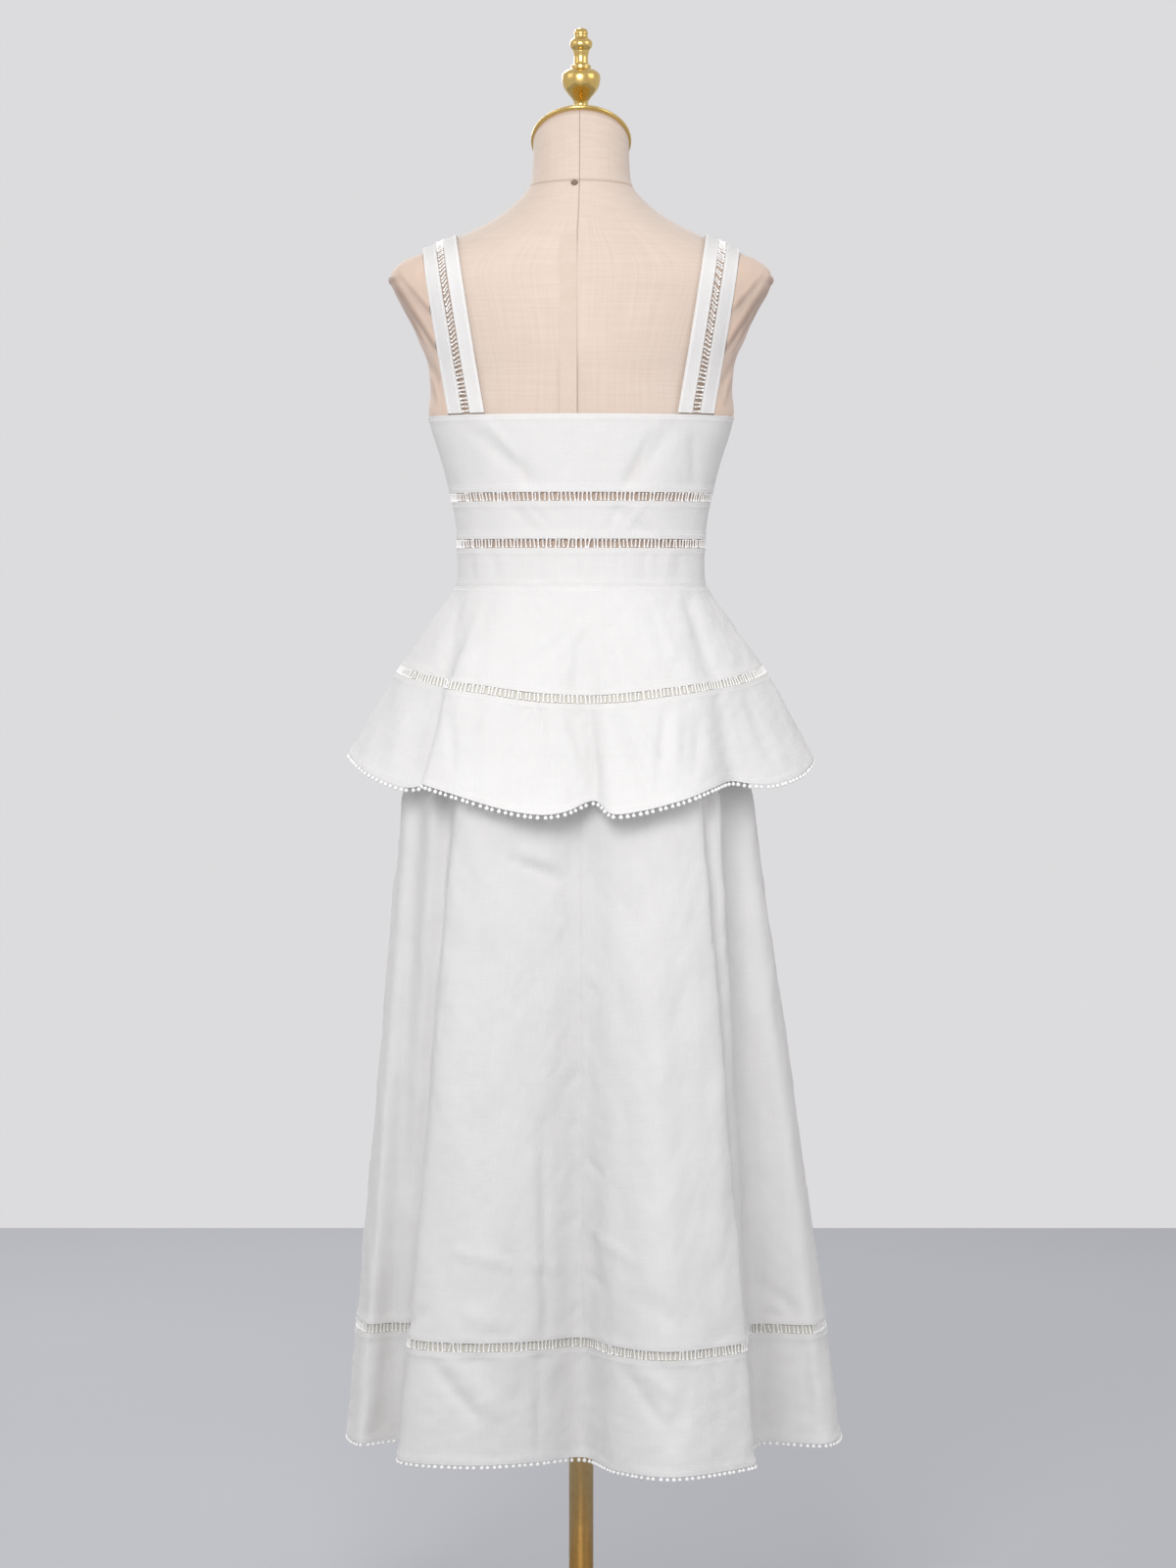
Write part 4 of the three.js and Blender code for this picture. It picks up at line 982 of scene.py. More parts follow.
def ladder(name, top_line, bottom_line, way_out, nodes, seed):
    """Ladder lace: a row of slightly uneven and leaning rungs between two edges of cloth."""
    cloth = bpy.context.scene.dress_cloth
    spots = evenly((top_line + bottom_line) / 2, cloth.rung_pitch / MM, seed, 0.12)
    lean = np.random.default_rng(seed + 1).normal(0, 0.11, (2, len(spots)))
    lean = lean * cloth.rung_pitch / MM / np.median(np.linalg.norm(np.diff(top_line, axis=0), axis=-1))
    top, bottom = at_index(top_line, spots + lean[0]), at_index(bottom_line, spots + lean[1])
    out = at_index(way_out, spots)
    middle = (top + bottom) / 2 + out * -0.45
    height = float(np.median(np.linalg.norm(top - bottom, axis=-1))) * MM
    piece = repeated(
        name, rung_part, middle, unit(top - bottom), out, cloth.rung_radius, height, 0.22, seed,
        material("lace"),
    )
    return declare(piece, "ladder_lace", nodes)


def topstitch(name, lines, seed):
    """The stitches along the folded edges of one part of the dress."""
    pitch, length, radius = 3.4, 2.5, 0.27  # in mm
    places, axes, outs = [], [], []
    for line, out in lines:
        spots = evenly(line, pitch)
        places.append(at_index(line, spots) + at_index(out, spots) * 0.1)
        axes.append(at_index(unit(np.gradient(line, axis=0)), spots))
        outs.append(at_index(out, spots))
    joined = (np.concatenate(v) for v in (places, axes, outs))
    piece = repeated(name, stitch_part, *joined, radius * MM, length * MM, 0.15, seed, material("thread"))
    declare(piece, "ramie_cloth", [])


def backing(name, surface, around, middle, half):
    """A narrow strip of plain cloth behind an insertion, so that its openings aren't see-through."""
    points = level_lines(surface, around, [middle + share * half for share in (-1.0, 0.0, 1.0)])
    strip = shell(name, points, -1.9, 0.3)
    finish_piece(strip, "lining_in_painted_shade", "ramie_cloth", [])
    declare_sheet(strip, points, held="stretched")


def level_lines(surface, around, levels):
    """Lines of a surface that run along its levels, as the rows of one grid."""
    return np.stack([surface(around, np.full_like(around, at)) for at in levels])


def bead_trim(name, hem, above, way_out, nodes, seed):
    """A row of thread beads hanging from a hem."""
    cloth = bpy.context.scene.dress_cloth
    spots = evenly(hem, cloth.bead_pitch / MM, seed, 0.14)
    edge, high, out = (at_index(v, spots) for v in (hem, above, way_out))
    hang = unit(unit(edge - high) * 0.5 + np.array([0, 0, -1.0]))
    drop = 3.0
    piece = repeated(
        name, bead_part, edge + hang * drop, -hang, out, cloth.bead_radius, (drop + 0.8) * MM, 0.14, seed,
        material("beads"),
    )
    return declare(piece, "bead_trim", nodes)


# ------------------------------------------------------------------ cloth pieces
def from_ends(points, axis):
    """Each grid point's distance along the cloth from the nearer end of its row or column."""
    way = lengths(points, axis)
    return np.minimum(way, np.take(way, [-1], axis) - way)


def folded_edge(distance, height, reach):
    """A turned and stitched edge: proud of the cloth, with a dent along its stitches."""
    fold = height * (1 - smooth((distance - reach) / 1.5))
    return fold - 0.35 * height * np.exp(-(((distance - reach + 1.2) / 0.9) ** 2))


def joined_edge(distance):
    """The dent of a plain seam."""
    return -0.5 * np.exp(-((distance / 0.9) ** 2))


def cloth_piece(
    node, points, creases, seed, held, rests_on, with_pieces=(), raised=0.0, ripples=0.5, stitches=None,
    tape=False,
):
    """One cut piece of the dress as a thin shell with its creases, in place of its node.

    Its lines of stitching are added to `stitches`. A tape's folded edges are its long sides.
    """
    cloth = bpy.context.scene.dress_cloth
    thick = cloth.thickness / MM
    soft = crease_height(points, creases) * cloth.crease_strength
    soft = soft + ripple(points, ripples, 46, seed, (1, 1, 0.45))
    soft = soft + ripple(points, ripples * 0.35, 15, seed + 1)
    ends, sides = from_ends(points, 0), from_ends(points, 1)
    soft = soft * (0.3 + 0.7 * smooth(ends / 9))
    edges = folded_edge(sides, 0.35, 3.0) if tape else folded_edge(ends, 0.45, 5.5) + joined_edge(sides)
    offset = raised - (CAD_CLOTH - thick) / 2 + soft + edges
    piece = shell(node + "_cloth", points, offset, thick)
    out = grid_normals(points)
    face = points + out * offset[..., None]
    if tape:
        stitches += [(face[:, k], out[:, k]) for k in (TAPE_STITCH, -1 - TAPE_STITCH)]
    else:
        stitches += [(face[k], out[k]) for k in (STITCH_ROW, -1 - STITCH_ROW)]
    finish_piece(piece, "ramie", "ramie_cloth", [node])
    declare_sheet(piece, points, held=held, rests_on=list(rests_on), with_pieces=list(with_pieces))


BODICE_PARTS = (("back", -90.0, 90.0), ("front_left", 90.0, 180.0), ("front_right", 180.0, 270.0))
SEAM_TURN, SEAM_ROW = 0.06, 0.004  # how far the pieces of cloth run past their seams
TAPE_STITCH = 2


def build_bodice():
    """The bodice's three bands, each in a back and two fronts, and the lace between them."""
    bands = (
        ("upper", top_edge, LADDER_HIGH[1]),
        ("middle", LADDER_HIGH[0], LADDER_LOW[1]),
        ("waistband", LADDER_LOW[0], WAIST_Z - HALF_GAP * 4),
    )
    turn = np.linspace(-180, 180, 240)
    ladders, stitches = {}, []
    for n, (name, (low, high)) in enumerate((("upper", LADDER_HIGH), ("lower", LADDER_LOW))):
        edges = level_lines(bodice, turn, (high, low))
        out = grid_normals(edges)[0]
        ladders[name] = ladder(f"bodice_ladder_{name}_lace", *edges, out, [f"bodice_ladder_{name}"], 20 + n)
    lace = {"back_upper": [ladders["upper"]], "back_waistband": [ladders["lower"]]}
    for band, top, bottom in bands:
        for part, left, right in BODICE_PARTS:
            points = grid(left - SEAM_TURN, right + SEAM_TURN, top, bottom, 3.2, 3.2, bodice)
            node = f"{part}_{band}"
            cloth_piece(
                node, points, CREASES["bodice"], 100, "stretched", ["form_torso_linen"], lace.get(node, ()),
                ripples=0.3, stitches=stitches,
            )
    topstitch("bodice_topstitching", stitches, 61)


# Columns of a tape across its width, closer together at its stitched edges.
TAPE_SHARES = np.array([0, 0.07, 0.13, 0.2, 0.3, 0.5, 0.7, 0.8, 0.87, 0.93, 1])


def build_straps():
    """Each strap's two tapes and the lace between them."""
    along = np.linspace(0.996, 0.004, 110)
    stitches = []
    for side, name in ((1, "left"), (-1, "right")):

        def band(first, last, shares=TAPE_SHARES):
            shares = (first + (last - first) * shares)[::side]
            return np.stack([strap(side, np.full_like(along, s), along) for s in shares], 1)

        lace_grid = band(*STRAP_LADDER, np.array([0, 1]))
        out = grid_normals(lace_grid)[:, 0]
        lift = out * (WORN_EASE + STRAP_LIFT)
        lace = ladder(
            f"strap_{name}_ladder_lace", lace_grid[:, 0] + lift, lace_grid[:, 1] + lift, out,
            [f"strap_{name}_ladder"], 30 + side,
        )
        for n, (tape, first, last) in enumerate(STRAP_TAPES):
            points = band(first, last)
            node = f"strap_{name}_{tape}"
            cloth_piece(
                node, points, (), 300 + 11 * n + side, "stretched", ["form_torso_linen"],
                [lace] if n == 0 else (), raised=WORN_EASE + STRAP_LIFT, ripples=0.12, stitches=stitches,
                tape=True,
            )
    topstitch("strap_topstitching", stitches, 62)


def trims(part, surface, around, lace_levels, hem_levels, middle, half, seed):
    """The ladder lace, its backing and the bead trim of the peplum or the skirt."""
    edges = level_lines(surface, around, lace_levels)
    lace = ladder(part + "_ladder_lace", *edges, grid_normals(edges)[0], [part + "_ladder"], seed)
    rows = level_lines(surface, around, hem_levels)
    way = grid_normals(rows)[1]
    above, hem = rows - way * 0.7
    beads = bead_trim(part + "_beads", hem, above, way, [part + "_bead_trim"], seed + 1)
    backing(part + "_lace_backing", surface, around, middle, half)
    return lace, beads


def build_peplum():
    """The peplum's two tiers, each in a back and two fronts, the lace between them and the beads."""
    around = np.linspace(0.005, PEPLUM_LAST - 0.005, 900)
    half = PEPLUM_HALF_LADDER
    lace, beads = trims(
        "peplum", peplum, around, (1 - half, 1 + half), (1.95, 2.0), 1.0, half + 2.5 / TIER_HEIGHT, 40
    )
    stitches = []
    parts = (
        ("front_right", 0, PEPLUM_RIGHT),
        ("back", PEPLUM_RIGHT, PEPLUM_LEFT),
        ("front_left", PEPLUM_LEFT, PEPLUM_LAST),
    )
    for n, (tier, top, bottom) in enumerate((("upper", 0.0014, 1 - half), ("lower", 1 + half, 2.0))):
        for part, left, right in parts:
            first = left + SEAM_ROW if left == 0 else left - SEAM_ROW
            last = right - SEAM_ROW if right == PEPLUM_LAST else right + SEAM_ROW
            points = grid(first, last, top, bottom, 3.6, 3.6, peplum)
            node = f"peplum_{part}_{tier}"
            with_pieces = {"peplum_back_upper": [lace], "peplum_back_lower": [beads]}.get(node, ())
            cloth_piece(
                node, points, CREASES["peplum"], 400 + 20 * n, "gathered", ["back_waistband_cloth"],
                with_pieces, ripples=0.8, stitches=stitches,
            )
    topstitch("peplum_topstitching", stitches, 63)


def build_skirt():
    """The skirt's four panels, its hem band in three pieces, the lace between them and the beads."""
    around = np.linspace(SKIRT_FRONT - SKIRT_COUNT + 0.005, SKIRT_FRONT - 0.005, 1600)
    low, high = SKIRT_LADDER
    middle = (low + high) / 2
    lace, beads = trims(
        "skirt", skirt, around, (high, low), (HEM_Z + 6, HEM_Z), middle, middle - high - 2.5, 50
    )
    stitches = []
    panels = (
        ("skirt_back_left", 0, SKIRT_LEFT),
        ("skirt_front_left", SKIRT_LEFT, SKIRT_FRONT),
        ("skirt_front_right", SKIRT_FRONT, SKIRT_RIGHT),
        ("skirt_back_right", SKIRT_RIGHT, SKIRT_COUNT),
    )
    for n, (node, left, right) in enumerate(panels):
        points = grid(left - SEAM_ROW, right + SEAM_ROW, WAIST_Z - HALF_GAP, high, 4.6, 5.2, skirt)
        cloth_piece(
            node, points, CREASES["skirt"], 500, "gathered", ["form_torso_linen"],
            [lace] if n == 0 else (), ripples=0.9, stitches=stitches,
        )
    bands = (
        ("skirt_hem_band_back", SKIRT_RIGHT - SKIRT_COUNT, SKIRT_LEFT),
        ("skirt_hem_band_front_left", SKIRT_LEFT, SKIRT_FRONT),
        ("skirt_hem_band_front_right", SKIRT_FRONT, SKIRT_RIGHT),
    )
    for n, (node, left, right) in enumerate(bands):
        points = grid(left - SEAM_ROW, right + SEAM_ROW, low, HEM_Z, 4.2, 4.2, skirt)
        cloth_piece(
            node, points, CREASES["hem"], 600, "hung", ["skirt_back_left_cloth"],
            [beads] if n == 0 else (), ripples=0.8, stitches=stitches,
        )
    topstitch("skirt_topstitching", stitches, 64)


PLACKET_HALF, PLACKET_RAISED = 13.0, 2.1


def build_plackets():
    """The strip of cloth under the buttons, down the bodice and down the skirt."""
    strips = (
        ("placket_bodice", bodice_front, FRONT_TOP_Z, WAIST_Z + HALF_GAP),
        ("placket_skirt", skirt_front, level("placket_skirt", 1), HEM_Z),
    )
    for n, (node, front, top, bottom) in enumerate(strips):
        points = grid(
            -PLACKET_HALF, PLACKET_HALF, top, bottom, 1.6, 4.0,
            lambda across, z, front=front: front(-np.asarray(across, float), np.asarray(z, float)),
        )
        from_side = PLACKET_HALF - np.abs(points[..., 0])
        stitch = -0.3 * np.exp(-(((from_side - 2.4) / 0.8) ** 2))
        thick = bpy.context.scene.dress_cloth.thickness / MM
        piece = shell(node + "_cloth", points, PLACKET_RAISED + stitch, thick)
        finish_piece(piece, "ramie", "ramie_cloth", [node])
        rests = "front_left_upper_cloth" if n == 0 else "skirt_front_left_cloth"
        declare_sheet(piece, points, held="laid", rests_on=[rests])


# ------------------------------------------------------------------ turned pieces
def turned(name, outline, segments=96, spread=1):
    """A smooth solid of revolution from an outline of (radius, height) in mm, closed at the axis."""
    outline = np.array(outline, float)
    middle = outline[1:-1]
    if spread > 1:
        k = np.linspace(0, len(middle) - 1, (len(middle) - 1) * spread + 1)
        i = np.clip(np.floor(k).astype(int), 0, len(middle) - 2)
        f = (k - i)[:, None]
        pick = lambda s: middle[np.clip(i + s, 0, len(middle) - 1)]
        middle = through_four(pick(-1), pick(0), pick(1), pick(2), f)
    angle = np.linspace(0, 2 * math.pi, segments, endpoint=False)
    ring = np.stack([np.cos(angle), np.sin(angle)], -1)
    points = [[0, 0, outline[0][1]]]
    for radius, height in middle:
        points += [[radius * c, radius * s, height] for c, s in ring]
    points.append([0, 0, outline[-1][1]])
    faces = []
    count, rows = segments, len(middle)
    for i in range(count):
        j = (i + 1) % count
        faces.append((0, 1 + j, 1 + i))
        top = 1 + (rows - 1) * count
        faces.append((len(points) - 1, top + i, top + j))
        for r in range(rows - 1):
            a, b = 1 + r * count, 1 + (r + 1) * count
            faces.append((a + i, a + j, b + j, b + i))
    return new_object(name, points, faces, sharp=40)


def build_stand():
    """The pole, its base and collar, the underside plate, the finial and the tilted neck cap."""
    for name, outline in TURNED.items():
        smooth_outline = 4 if name in ("finial", "stand_collar") else 1
        piece = turned(name + "_brass", outline, 96, smooth_outline)
        finish_piece(piece, "dull brass" if name.startswith("stand") else "brass", "brass", [name])
    wide, tilt = FORM["wide"][0], math.atan(FORM["tilt"][0])
    cap = turned("neck_cap_brass", [(s * wide, h) for s, h in CAP_SHARES], 96, 4)
    cos, sin, cap_z = math.cos(tilt), math.sin(tilt), (FORM["z"][0] + 0.3) * MM
    reshape(cap, lambda x, y, z: (x, y - z * sin, y / cos * sin + z * cos + cap_z))
    join_all("neck_cap_brass", [cap, turned("boss", CAP_BOSS, 48)])
    finish_piece(cap, "brass", "brass", ["neck_cap"])


# ------------------------------------------------------------------ the form
NECK_SEAM_Z, BACK_SEAM_X = 1490.0, 4.5
# Folds of the voile, pulled from the shoulder's tip: both ends (distance out, z), half width and depth.
COVER_FOLDS = (
    (192, 1400, 192, 1393, 7, -3.0),
    (187, 1396, 134, 1312, 2.8, -2.2),
    (188, 1392, 150, 1322, 2.4, -1.8),
    (182, 1402, 140, 1352, 2.6, -1.4),
    (188, 1384, 156, 1296, 2.2, -1.6),
    (150, 1300, 142, 1268, 2.4, -1.2),
    (160, 1330, 140, 1290, 4, 1.0),
)


def build_form():
    """The padded torso under its linen cover, its seams, its tape and the sheer armhole covers."""
    # The seams get finer rows and columns than the rest.
    fine = np.array([-2.4, -1.5, -0.9, -0.5, -0.2, 0, 0.2, 0.5, 0.9, 1.5, 2.4])
    z = np.unique(np.concatenate([np.linspace(FORM["z"][0], FORM["z"][-1], 210), NECK_SEAM_Z + fine]))[::-1]
    centre = np.degrees((BACK_SEAM_X + fine) / 150)
    turn = np.unique(np.concatenate([np.linspace(0, 360, 200, endpoint=False), centre % 360, 180 - centre]))
    rows, columns = len(z), len(turn)
    slack = 1.4 * smooth((FRONT_TOP_Z + 30 - z) / 30)
    zz, tt = np.meshgrid(z, turn, indexing="ij")
    points = around_form(tt, zz, -slack[:, None])
    out = np.stack([np.sin(np.radians(tt)), np.cos(np.radians(tt)), 0 * tt], -1)
    # A sunk seam runs down the centre back and front, and one lies round the base of the neck.
    from_centre = np.abs(np.abs((tt + 90) % 360 - 180) - 90) - abs(math.degrees(BACK_SEAM_X / 150))
    from_centre = np.where(np.sin(np.radians(tt)) > 0, from_centre, 90)
    seam = np.exp(-((from_centre / 0.3) ** 2))
    neck = np.exp(-(((zz - NECK_SEAM_Z) / 0.9) ** 2))
    points = points - out * (0.9 * seam + 0.7 * neck)[..., None]
    index = np.arange(rows * columns).reshape(rows, columns)
    after = np.roll(index, -1, axis=1)
    quads = np.stack([index[:-1], index[1:], after[1:], after[:-1]], -1).reshape(-1, 4)
    around = np.radians(np.append(turn, 360)) * 140
    flat = np.stack(np.meshgrid(around, FORM["z"][0] - z), -1) * MM
    corners = np.stack([flat[:-1, :-1], flat[1:, :-1], flat[1:, 1:], flat[:-1, 1:]], 2).reshape(-1, 2)
    quads = quads.tolist()
    # Painted shadow: a thin band of the cover under the neck cap is darkened. Painted shade: behind_lace darkens
    # the form behind the bodice's and the straps' lace. The sunk seams are darkened too.
    painted_cap_shadow = smooth((zz - FORM["z"][0] + 3.2) / 1.2)
    shade = 0.75 * seam + 0.6 * neck + behind_lace(points) + 0.9 * painted_cap_shadow
    shade = np.append(np.clip(shade, 0, 1).ravel(), [0, 0])
    body = points.reshape(-1, 3).tolist()
    top, bottom = len(body), len(body) + 1
    body += [[0, 0, FORM["z"][0]], [0, 0, FORM["z"][-1]]]
    for i in range(columns):
        j = (i + 1) % columns
        quads.append([top, i, j])
        quads.append([bottom, int(index[-1, j]), int(index[-1, i])])
    corners = np.concatenate([corners, np.zeros((6 * columns, 2))])
    torso = new_object("form_torso_linen", body, quads, corners, sharp=50, shade=shade)
    finish_piece(torso, "linen", "form_linen", ["form_torso"])
    build_tape()
    for side, name in ((1, "left"), (-1, "right")):
        build_cover(side, name)


def behind_lace(points):
    """How much the form lies in the shade of the cloth, behind the bodice's and the straps' insertions."""
    x, y, z = np.abs(points[..., 0]), points[..., 1], points[..., 2]
    bands = sum(smooth((9 - np.abs(z - (low + high) / 2)) / 3) for low, high in (LADDER_LOW, LADDER_HIGH))
    front = y < 0
    line = strap_side(np.full_like(x, sum(STRAP_LADDER) / 2), np.minimum(z, STRAP_TOP_Z), front)
    climb = np.clip((z - BACK_TOP_Z) / (STRAP_TOP_Z - BACK_TOP_Z), 0, 1)
    strips = smooth((9 - np.abs(x - line)) / 3) * (z > BACK_TOP_Z) * (1 - 0.6 * climb)
    return 0.55 * bands + 0.7 * strips


KNOT_OUTLINE = ((0, -3.2), (2, -2.7), (3.6, -0.8), (3.4, 1.2), (1.7, 2.9), (0, 3.3))


def build_tape():
    """A darker tape down the middle of the back, and the knot where the neck seam meets it."""
    xx, zz = np.meshgrid(np.linspace(21, 4, 8), np.linspace(1438, 1250, 60))
    turn = np.degrees(np.arcsin(xx / form_size("wide", zz)))
    points = around_form(turn, zz, 0.0)[:, ::-1]
    tape = shell("form_back_tape", points, 0.35, 0.3)
    finish_piece(tape, "tape", "form_linen", [])
    knot = turned("form_neck_knot", KNOT_OUTLINE, 16, 3)
    reshape(knot, lambda x, y, z: (x + 0.0065, y * 0.6 + 0.0555, z + NECK_SEAM_Z * MM + 0.0005))
    finish_piece(knot, "knot", "form_sheer", [])


def build_cover(side, name):
    """Sheer voile over an armhole side, with the folds that run in from the shoulder's tip."""

    def surface(share, z):
        wide = form_size("wide", z)

        def on(high, front):
            edge = strap_side(np.ones_like(z), high, np.full(z.shape, front)) + 1.2
            return np.degrees(np.arcsin(np.minimum(0.99, edge / wide)))

        back = on(np.maximum(z, BACK_TOP_Z), False)
        front = 180 - on(np.maximum(z, FRONT_TOP_Z), True)
        return around_form(side * mix(back, front, share if side > 0 else 1 - share), z, 0.0)

    def bottom(share):
        return mix(BACK_TOP_Z - 4, FRONT_TOP_Z - 4, smooth(((share if side > 0 else 1 - share) - 0.35) / 0.5))

    points = grid(0.0, 1.0, 1420.0, bottom, 2.3, 2.3, surface)
    rows = [(side * a, b, side * c, d, width, deep, 0) for a, b, c, d, width, deep in COVER_FOLDS]
    folds = crease_height(points, rows)
    folds = folds + ripple(points, 0.25, 22, 71 + side, (1, 1, 0.4))
    inside = smooth(from_ends(points, 0) / 9)
    # Painted shade: the voile darkens in its folds and along its ridges.
    shade = np.clip(np.abs(folds) / 1.9 - 0.15, 0, 1) * 0.8
    piece = shell(f"form_armhole_cover_{name}_voile", points, 0.9 + 0.9 * inside + folds * inside, 0.5, shade)
    finish_piece(piece, "sheer", "form_sheer", [f"form_armhole_cover_{name}"])
    declare_sheet(piece, points, held="stretched", rests_on=["form_torso_linen"])


# ------------------------------------------------------------------ buttons
BUTTON_OUTLINE = (
    (0, 0), (4.75, 0), (5.5, 0.3), (5.75, 0.9), (5.75, 1.7), (5.3, 2.3), (4.6, 2.4), (3.9, 2.1),
    (3.4, 1.65), (0, 1.6),
)


HOLE_OUTLINE = ((0, -0.05), (0.62, -0.05), (0.72, 0.02), (0.62, 0.09), (0, 0.06))


def build_buttons():
    """Round four-hole buttons with a raised rim, and the crossed threads that sew them on."""
    names = sorted(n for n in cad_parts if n.startswith("button_"))
    places, outs, rights = [], [], []
    for name in names:
        low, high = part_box(name)
        front = bodice_front if "bodice" in name else skirt_front
        x = np.array([[3.0, 0.0, -3.0]] * 3)
        z = (low[2] + high[2]) / 2 / MM + np.array([[4.0] * 3, [0.0] * 3, [-4.0] * 3])
        around = front(x, z)
        out = grid_normals(around)[1, 1]
        places.append(around[1, 1] + out * (PLACKET_RAISED + 0.3))
        outs.append(out)
        rights.append(np.cross(unit(np.array([0, 0, 1.0]) - out * out[2]), out))
    threads = []
    for dx, dy in ((1, 1), (-1, 1), (1, -1), (-1, -1)):
        hole = turned("hole", HOLE_OUTLINE, 12)
        side, back, rise = 1.25 * dx * MM, 1.25 * dy * MM, 1.62 * MM
        threads.append(reshape(hole, lambda x, y, z: (x + side, y + back, z + rise)))
    for slope in (1, -1):
        along = np.linspace(-1.75, 1.75, 7)
        bow = 1.75 + 0.35 * np.sqrt(np.clip(1 - (along / 1.8) ** 2, 0, 1))
        threads.append(tube("thread", np.stack([along, along * slope, bow], -1), 0.32, 6))
    for name, pattern, look, slot, nodes in (
        ("buttons", turned("button_pattern", BUTTON_OUTLINE, 40, 2), "buttons", "buttons", names),
        ("button_threads", join_all("thread_pattern", threads), "beads", "ramie_cloth", []),
    ):
        places, outs, rights = (np.array(v) for v in (places, outs, rights))
        piece = repeated(name, pattern_part(pattern), places, outs, rights, 0.0, 0.0, 0.0, 0, material(look))
        bpy.data.objects.remove(pattern)
        declare(piece, slot, nodes)


def tube(name, line, radius, sides):
    """A closed round tube along a line of points (mm)."""
    along = unit(np.gradient(line, axis=0))
    first = unit(np.cross(along, np.array([0.3, 0.2, 0.93])))
    second = np.cross(along, first)
    angle = np.linspace(0, 2 * math.pi, sides, endpoint=False)
    rings = line[:, None] + radius * (
        first[:, None] * np.cos(angle)[None, :, None] + second[:, None] * np.sin(angle)[None, :, None]
    )
    points = rings.reshape(-1, 3).tolist()
    faces = []
    for i in range(len(line) - 1):
        for k in range(sides):
            m = (k + 1) % sides
            faces.append((i * sides + k, i * sides + m, (i + 1) * sides + m, (i + 1) * sides + k))
    faces.append(tuple(range(sides))[::-1])
    faces.append(tuple((len(line) - 1) * sides + k for k in range(sides)))
    return new_object(name, points, faces, sharp=60)


def join_all(name, pieces):
    """Join objects into the first, under that name."""
    first = pieces[0]
    with bpy.context.temp_override(
        active_object=first, object=first, selected_objects=pieces, selected_editable_objects=pieces
    ):
        bpy.ops.object.join()
    first.name = name
    return first


# ------------------------------------------------------------------ camera and stage
EYE = (-0.007, 4.5, 1.085)
LOOK_AT = (-0.007, 0.0, 0.885)
FRAME_HEIGHT = 1.6  # metres of the object's middle plane that the frame takes in


FLOOR_Z = -0.4  # mm, just under the base
AIR_STRENGTH = 0.9
SOFT, KEY, FRONT = 2.0, 0.8, 1.6  # the lamps' sides in metres


def build_stage():
    """The camera behind the dress, the floor, the room's light and four soft lamps."""
    stage = bpy.context.scene.dress_stage
    scene = bpy.context.scene
    camera = bpy.data.objects.new("camera", bpy.data.cameras.new("camera"))
    scene.collection.objects.link(camera)
    way = Vector(LOOK_AT) - Vector(EYE)
    camera.location = EYE
    camera.rotation_euler = way.to_track_quat("-Z", "Y").to_euler()
    camera.data.sensor_width = 36.0
    camera.data.lens = camera.data.sensor_width * way.length / FRAME_HEIGHT
    scene.camera = camera
    scene.view_settings.view_transform = "Standard"

    half = stage.floor_half / MM
    corners = [[x * half, y * half, FLOOR_Z] for x, y in ((-1, -1), (1, -1), (1, 1), (-1, 1))]
    floor = new_object("floor", corners, [(0, 1, 2, 3)])
    made = Finish("floor", Roughness=0.55, Specular_IOR_Level=0.3)
    colour = tuple(stage.floor_colour)
    cloud = made.noise(made.place("Object"), 1.4, 3.0)
    made.feed("Base Color", made.blend(cloud, colour, tuple(c * 1.06 for c in colour)))
    floor.data.materials.append(made.material)

    world = bpy.data.worlds.new("room")
    world.use_nodes = True
    back = world.node_tree.nodes["Background"]
    back.inputs["Color"].default_value = (*stage.air_colour, 1)
    back.inputs["Strength"].default_value = AIR_STRENGTH
    scene.world = world
    lamps = (
        ("key", (0.3, 2.0, 1.8), 1.4, KEY, stage.key_power),
        ("fill_left", (3.2, 1.2, 2.6), 1.3, SOFT, stage.fill_power * 0.7),
        ("fill_right", (-3.2, 1.6, 2.5), 1.3, SOFT, stage.fill_power * 1.4),
        ("front", (0.9, -3.0, 2.6), 1.0, FRONT, stage.fill_power * 2.4),
    )
    for name, place, aim_z, size, power in lamps:
        light = bpy.data.lights.new(name, "AREA")
        light.size, light.energy = size, power
        lamp = bpy.data.objects.new(name, light)
        lamp.visible_camera = False
        lamp.location = place
        lamp.rotation_euler = (Vector((0, 0, aim_z)) - Vector(place)).to_track_quat("-Z", "Y").to_euler()
        scene.collection.objects.link(lamp)


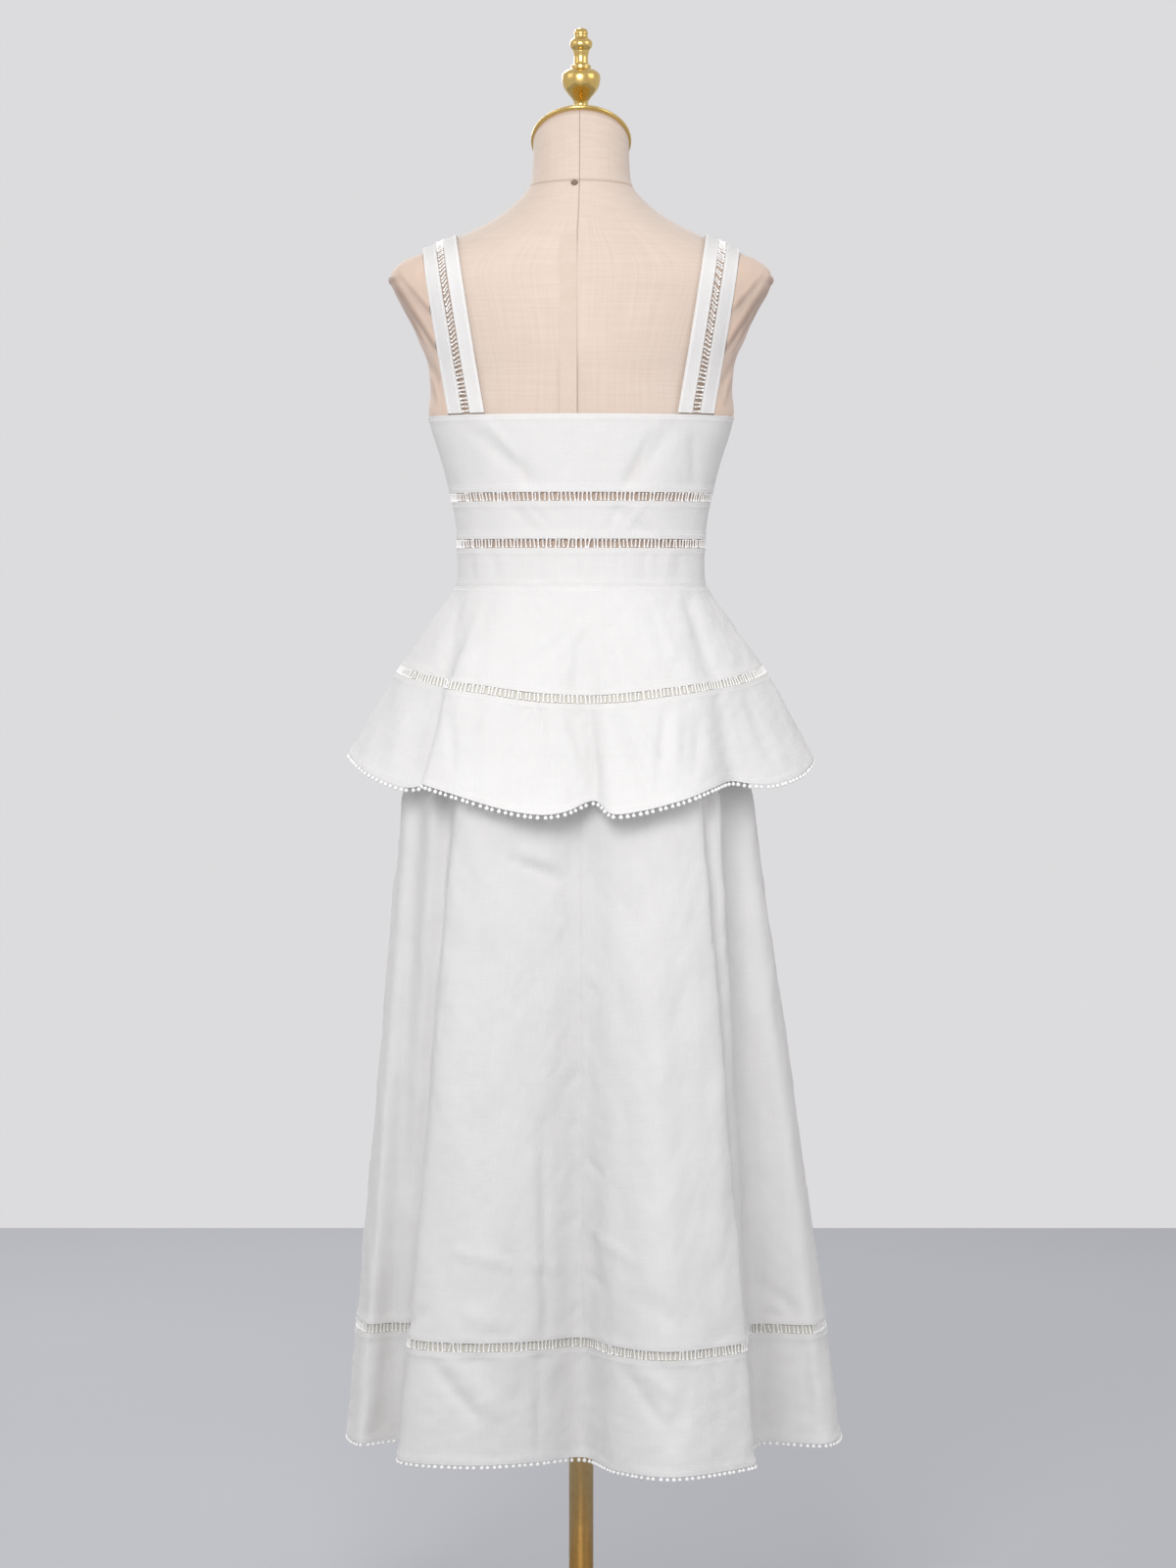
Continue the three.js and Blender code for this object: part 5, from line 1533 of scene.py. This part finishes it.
# ------------------------------------------------------------------ operators and panel
def operator(idname, label, doc, build):
    """An operator class that runs one builder and fails loudly."""

    def execute(self, context):
        build()
        return {"FINISHED"}

    return type(
        "DRESS_OT_" + idname.split(".")[1],
        (bpy.types.Operator,),
        {"bl_idname": idname, "bl_label": label, "__doc__": doc, "execute": execute},
    )


OPERATORS = (
    operator("dress.stage", "Stage", "Make the camera, the floor and the lights", build_stage),
    operator("dress.form", "Dress form", "Make the linen-covered torso and its sheer covers", build_form),
    operator("dress.stand", "Stand", "Make the brass cap, finial, pole and base", build_stand),
    operator("dress.bodice", "Bodice", "Make the bodice's bands and insertions", build_bodice),
    operator("dress.straps", "Straps", "Make the two shoulder straps", build_straps),
    operator("dress.peplum", "Peplum", "Make the peplum's tiers, insertion and beads", build_peplum),
    operator("dress.skirt", "Skirt", "Make the skirt, its insertion, hem band and beads", build_skirt),
    operator("dress.plackets", "Plackets", "Make the button plackets", build_plackets),
    operator("dress.buttons", "Buttons", "Make and sew on the buttons", build_buttons),
)


class DRESS_PT_panel(bpy.types.Panel):
    """The dress's settings and builders."""

    bl_idname = "DRESS_PT_panel"
    bl_label = "Dress"
    bl_space_type = "VIEW_3D"
    bl_region_type = "UI"
    bl_category = "Dress"

    def draw(self, context):
        for group in (context.scene.dress_cloth, context.scene.dress_form_look, context.scene.dress_stage):
            for name in group.bl_rna.properties.keys():
                if name not in ("rna_type", "name"):
                    self.layout.prop(group, name)
        for made in OPERATORS:
            self.layout.operator(made.bl_idname)


CLASSES = (DressCloth, DressFormLook, DressStage, *OPERATORS, DRESS_PT_panel)


def register():
    for made in CLASSES:
        bpy.utils.register_class(made)
    bpy.types.Scene.dress_cloth = bpy.props.PointerProperty(type=DressCloth)
    bpy.types.Scene.dress_form_look = bpy.props.PointerProperty(type=DressFormLook)
    bpy.types.Scene.dress_stage = bpy.props.PointerProperty(type=DressStage)


def unregister():
    for name in ("dress_cloth", "dress_form_look", "dress_stage"):
        delattr(bpy.types.Scene, name)
    for made in reversed(CLASSES):
        bpy.utils.unregister_class(made)


def main():
    register()
    for made in OPERATORS:
        group, name = made.bl_idname.split(".")
        getattr(getattr(bpy.ops, group), name)()


if __name__ == "__main__":
    main()
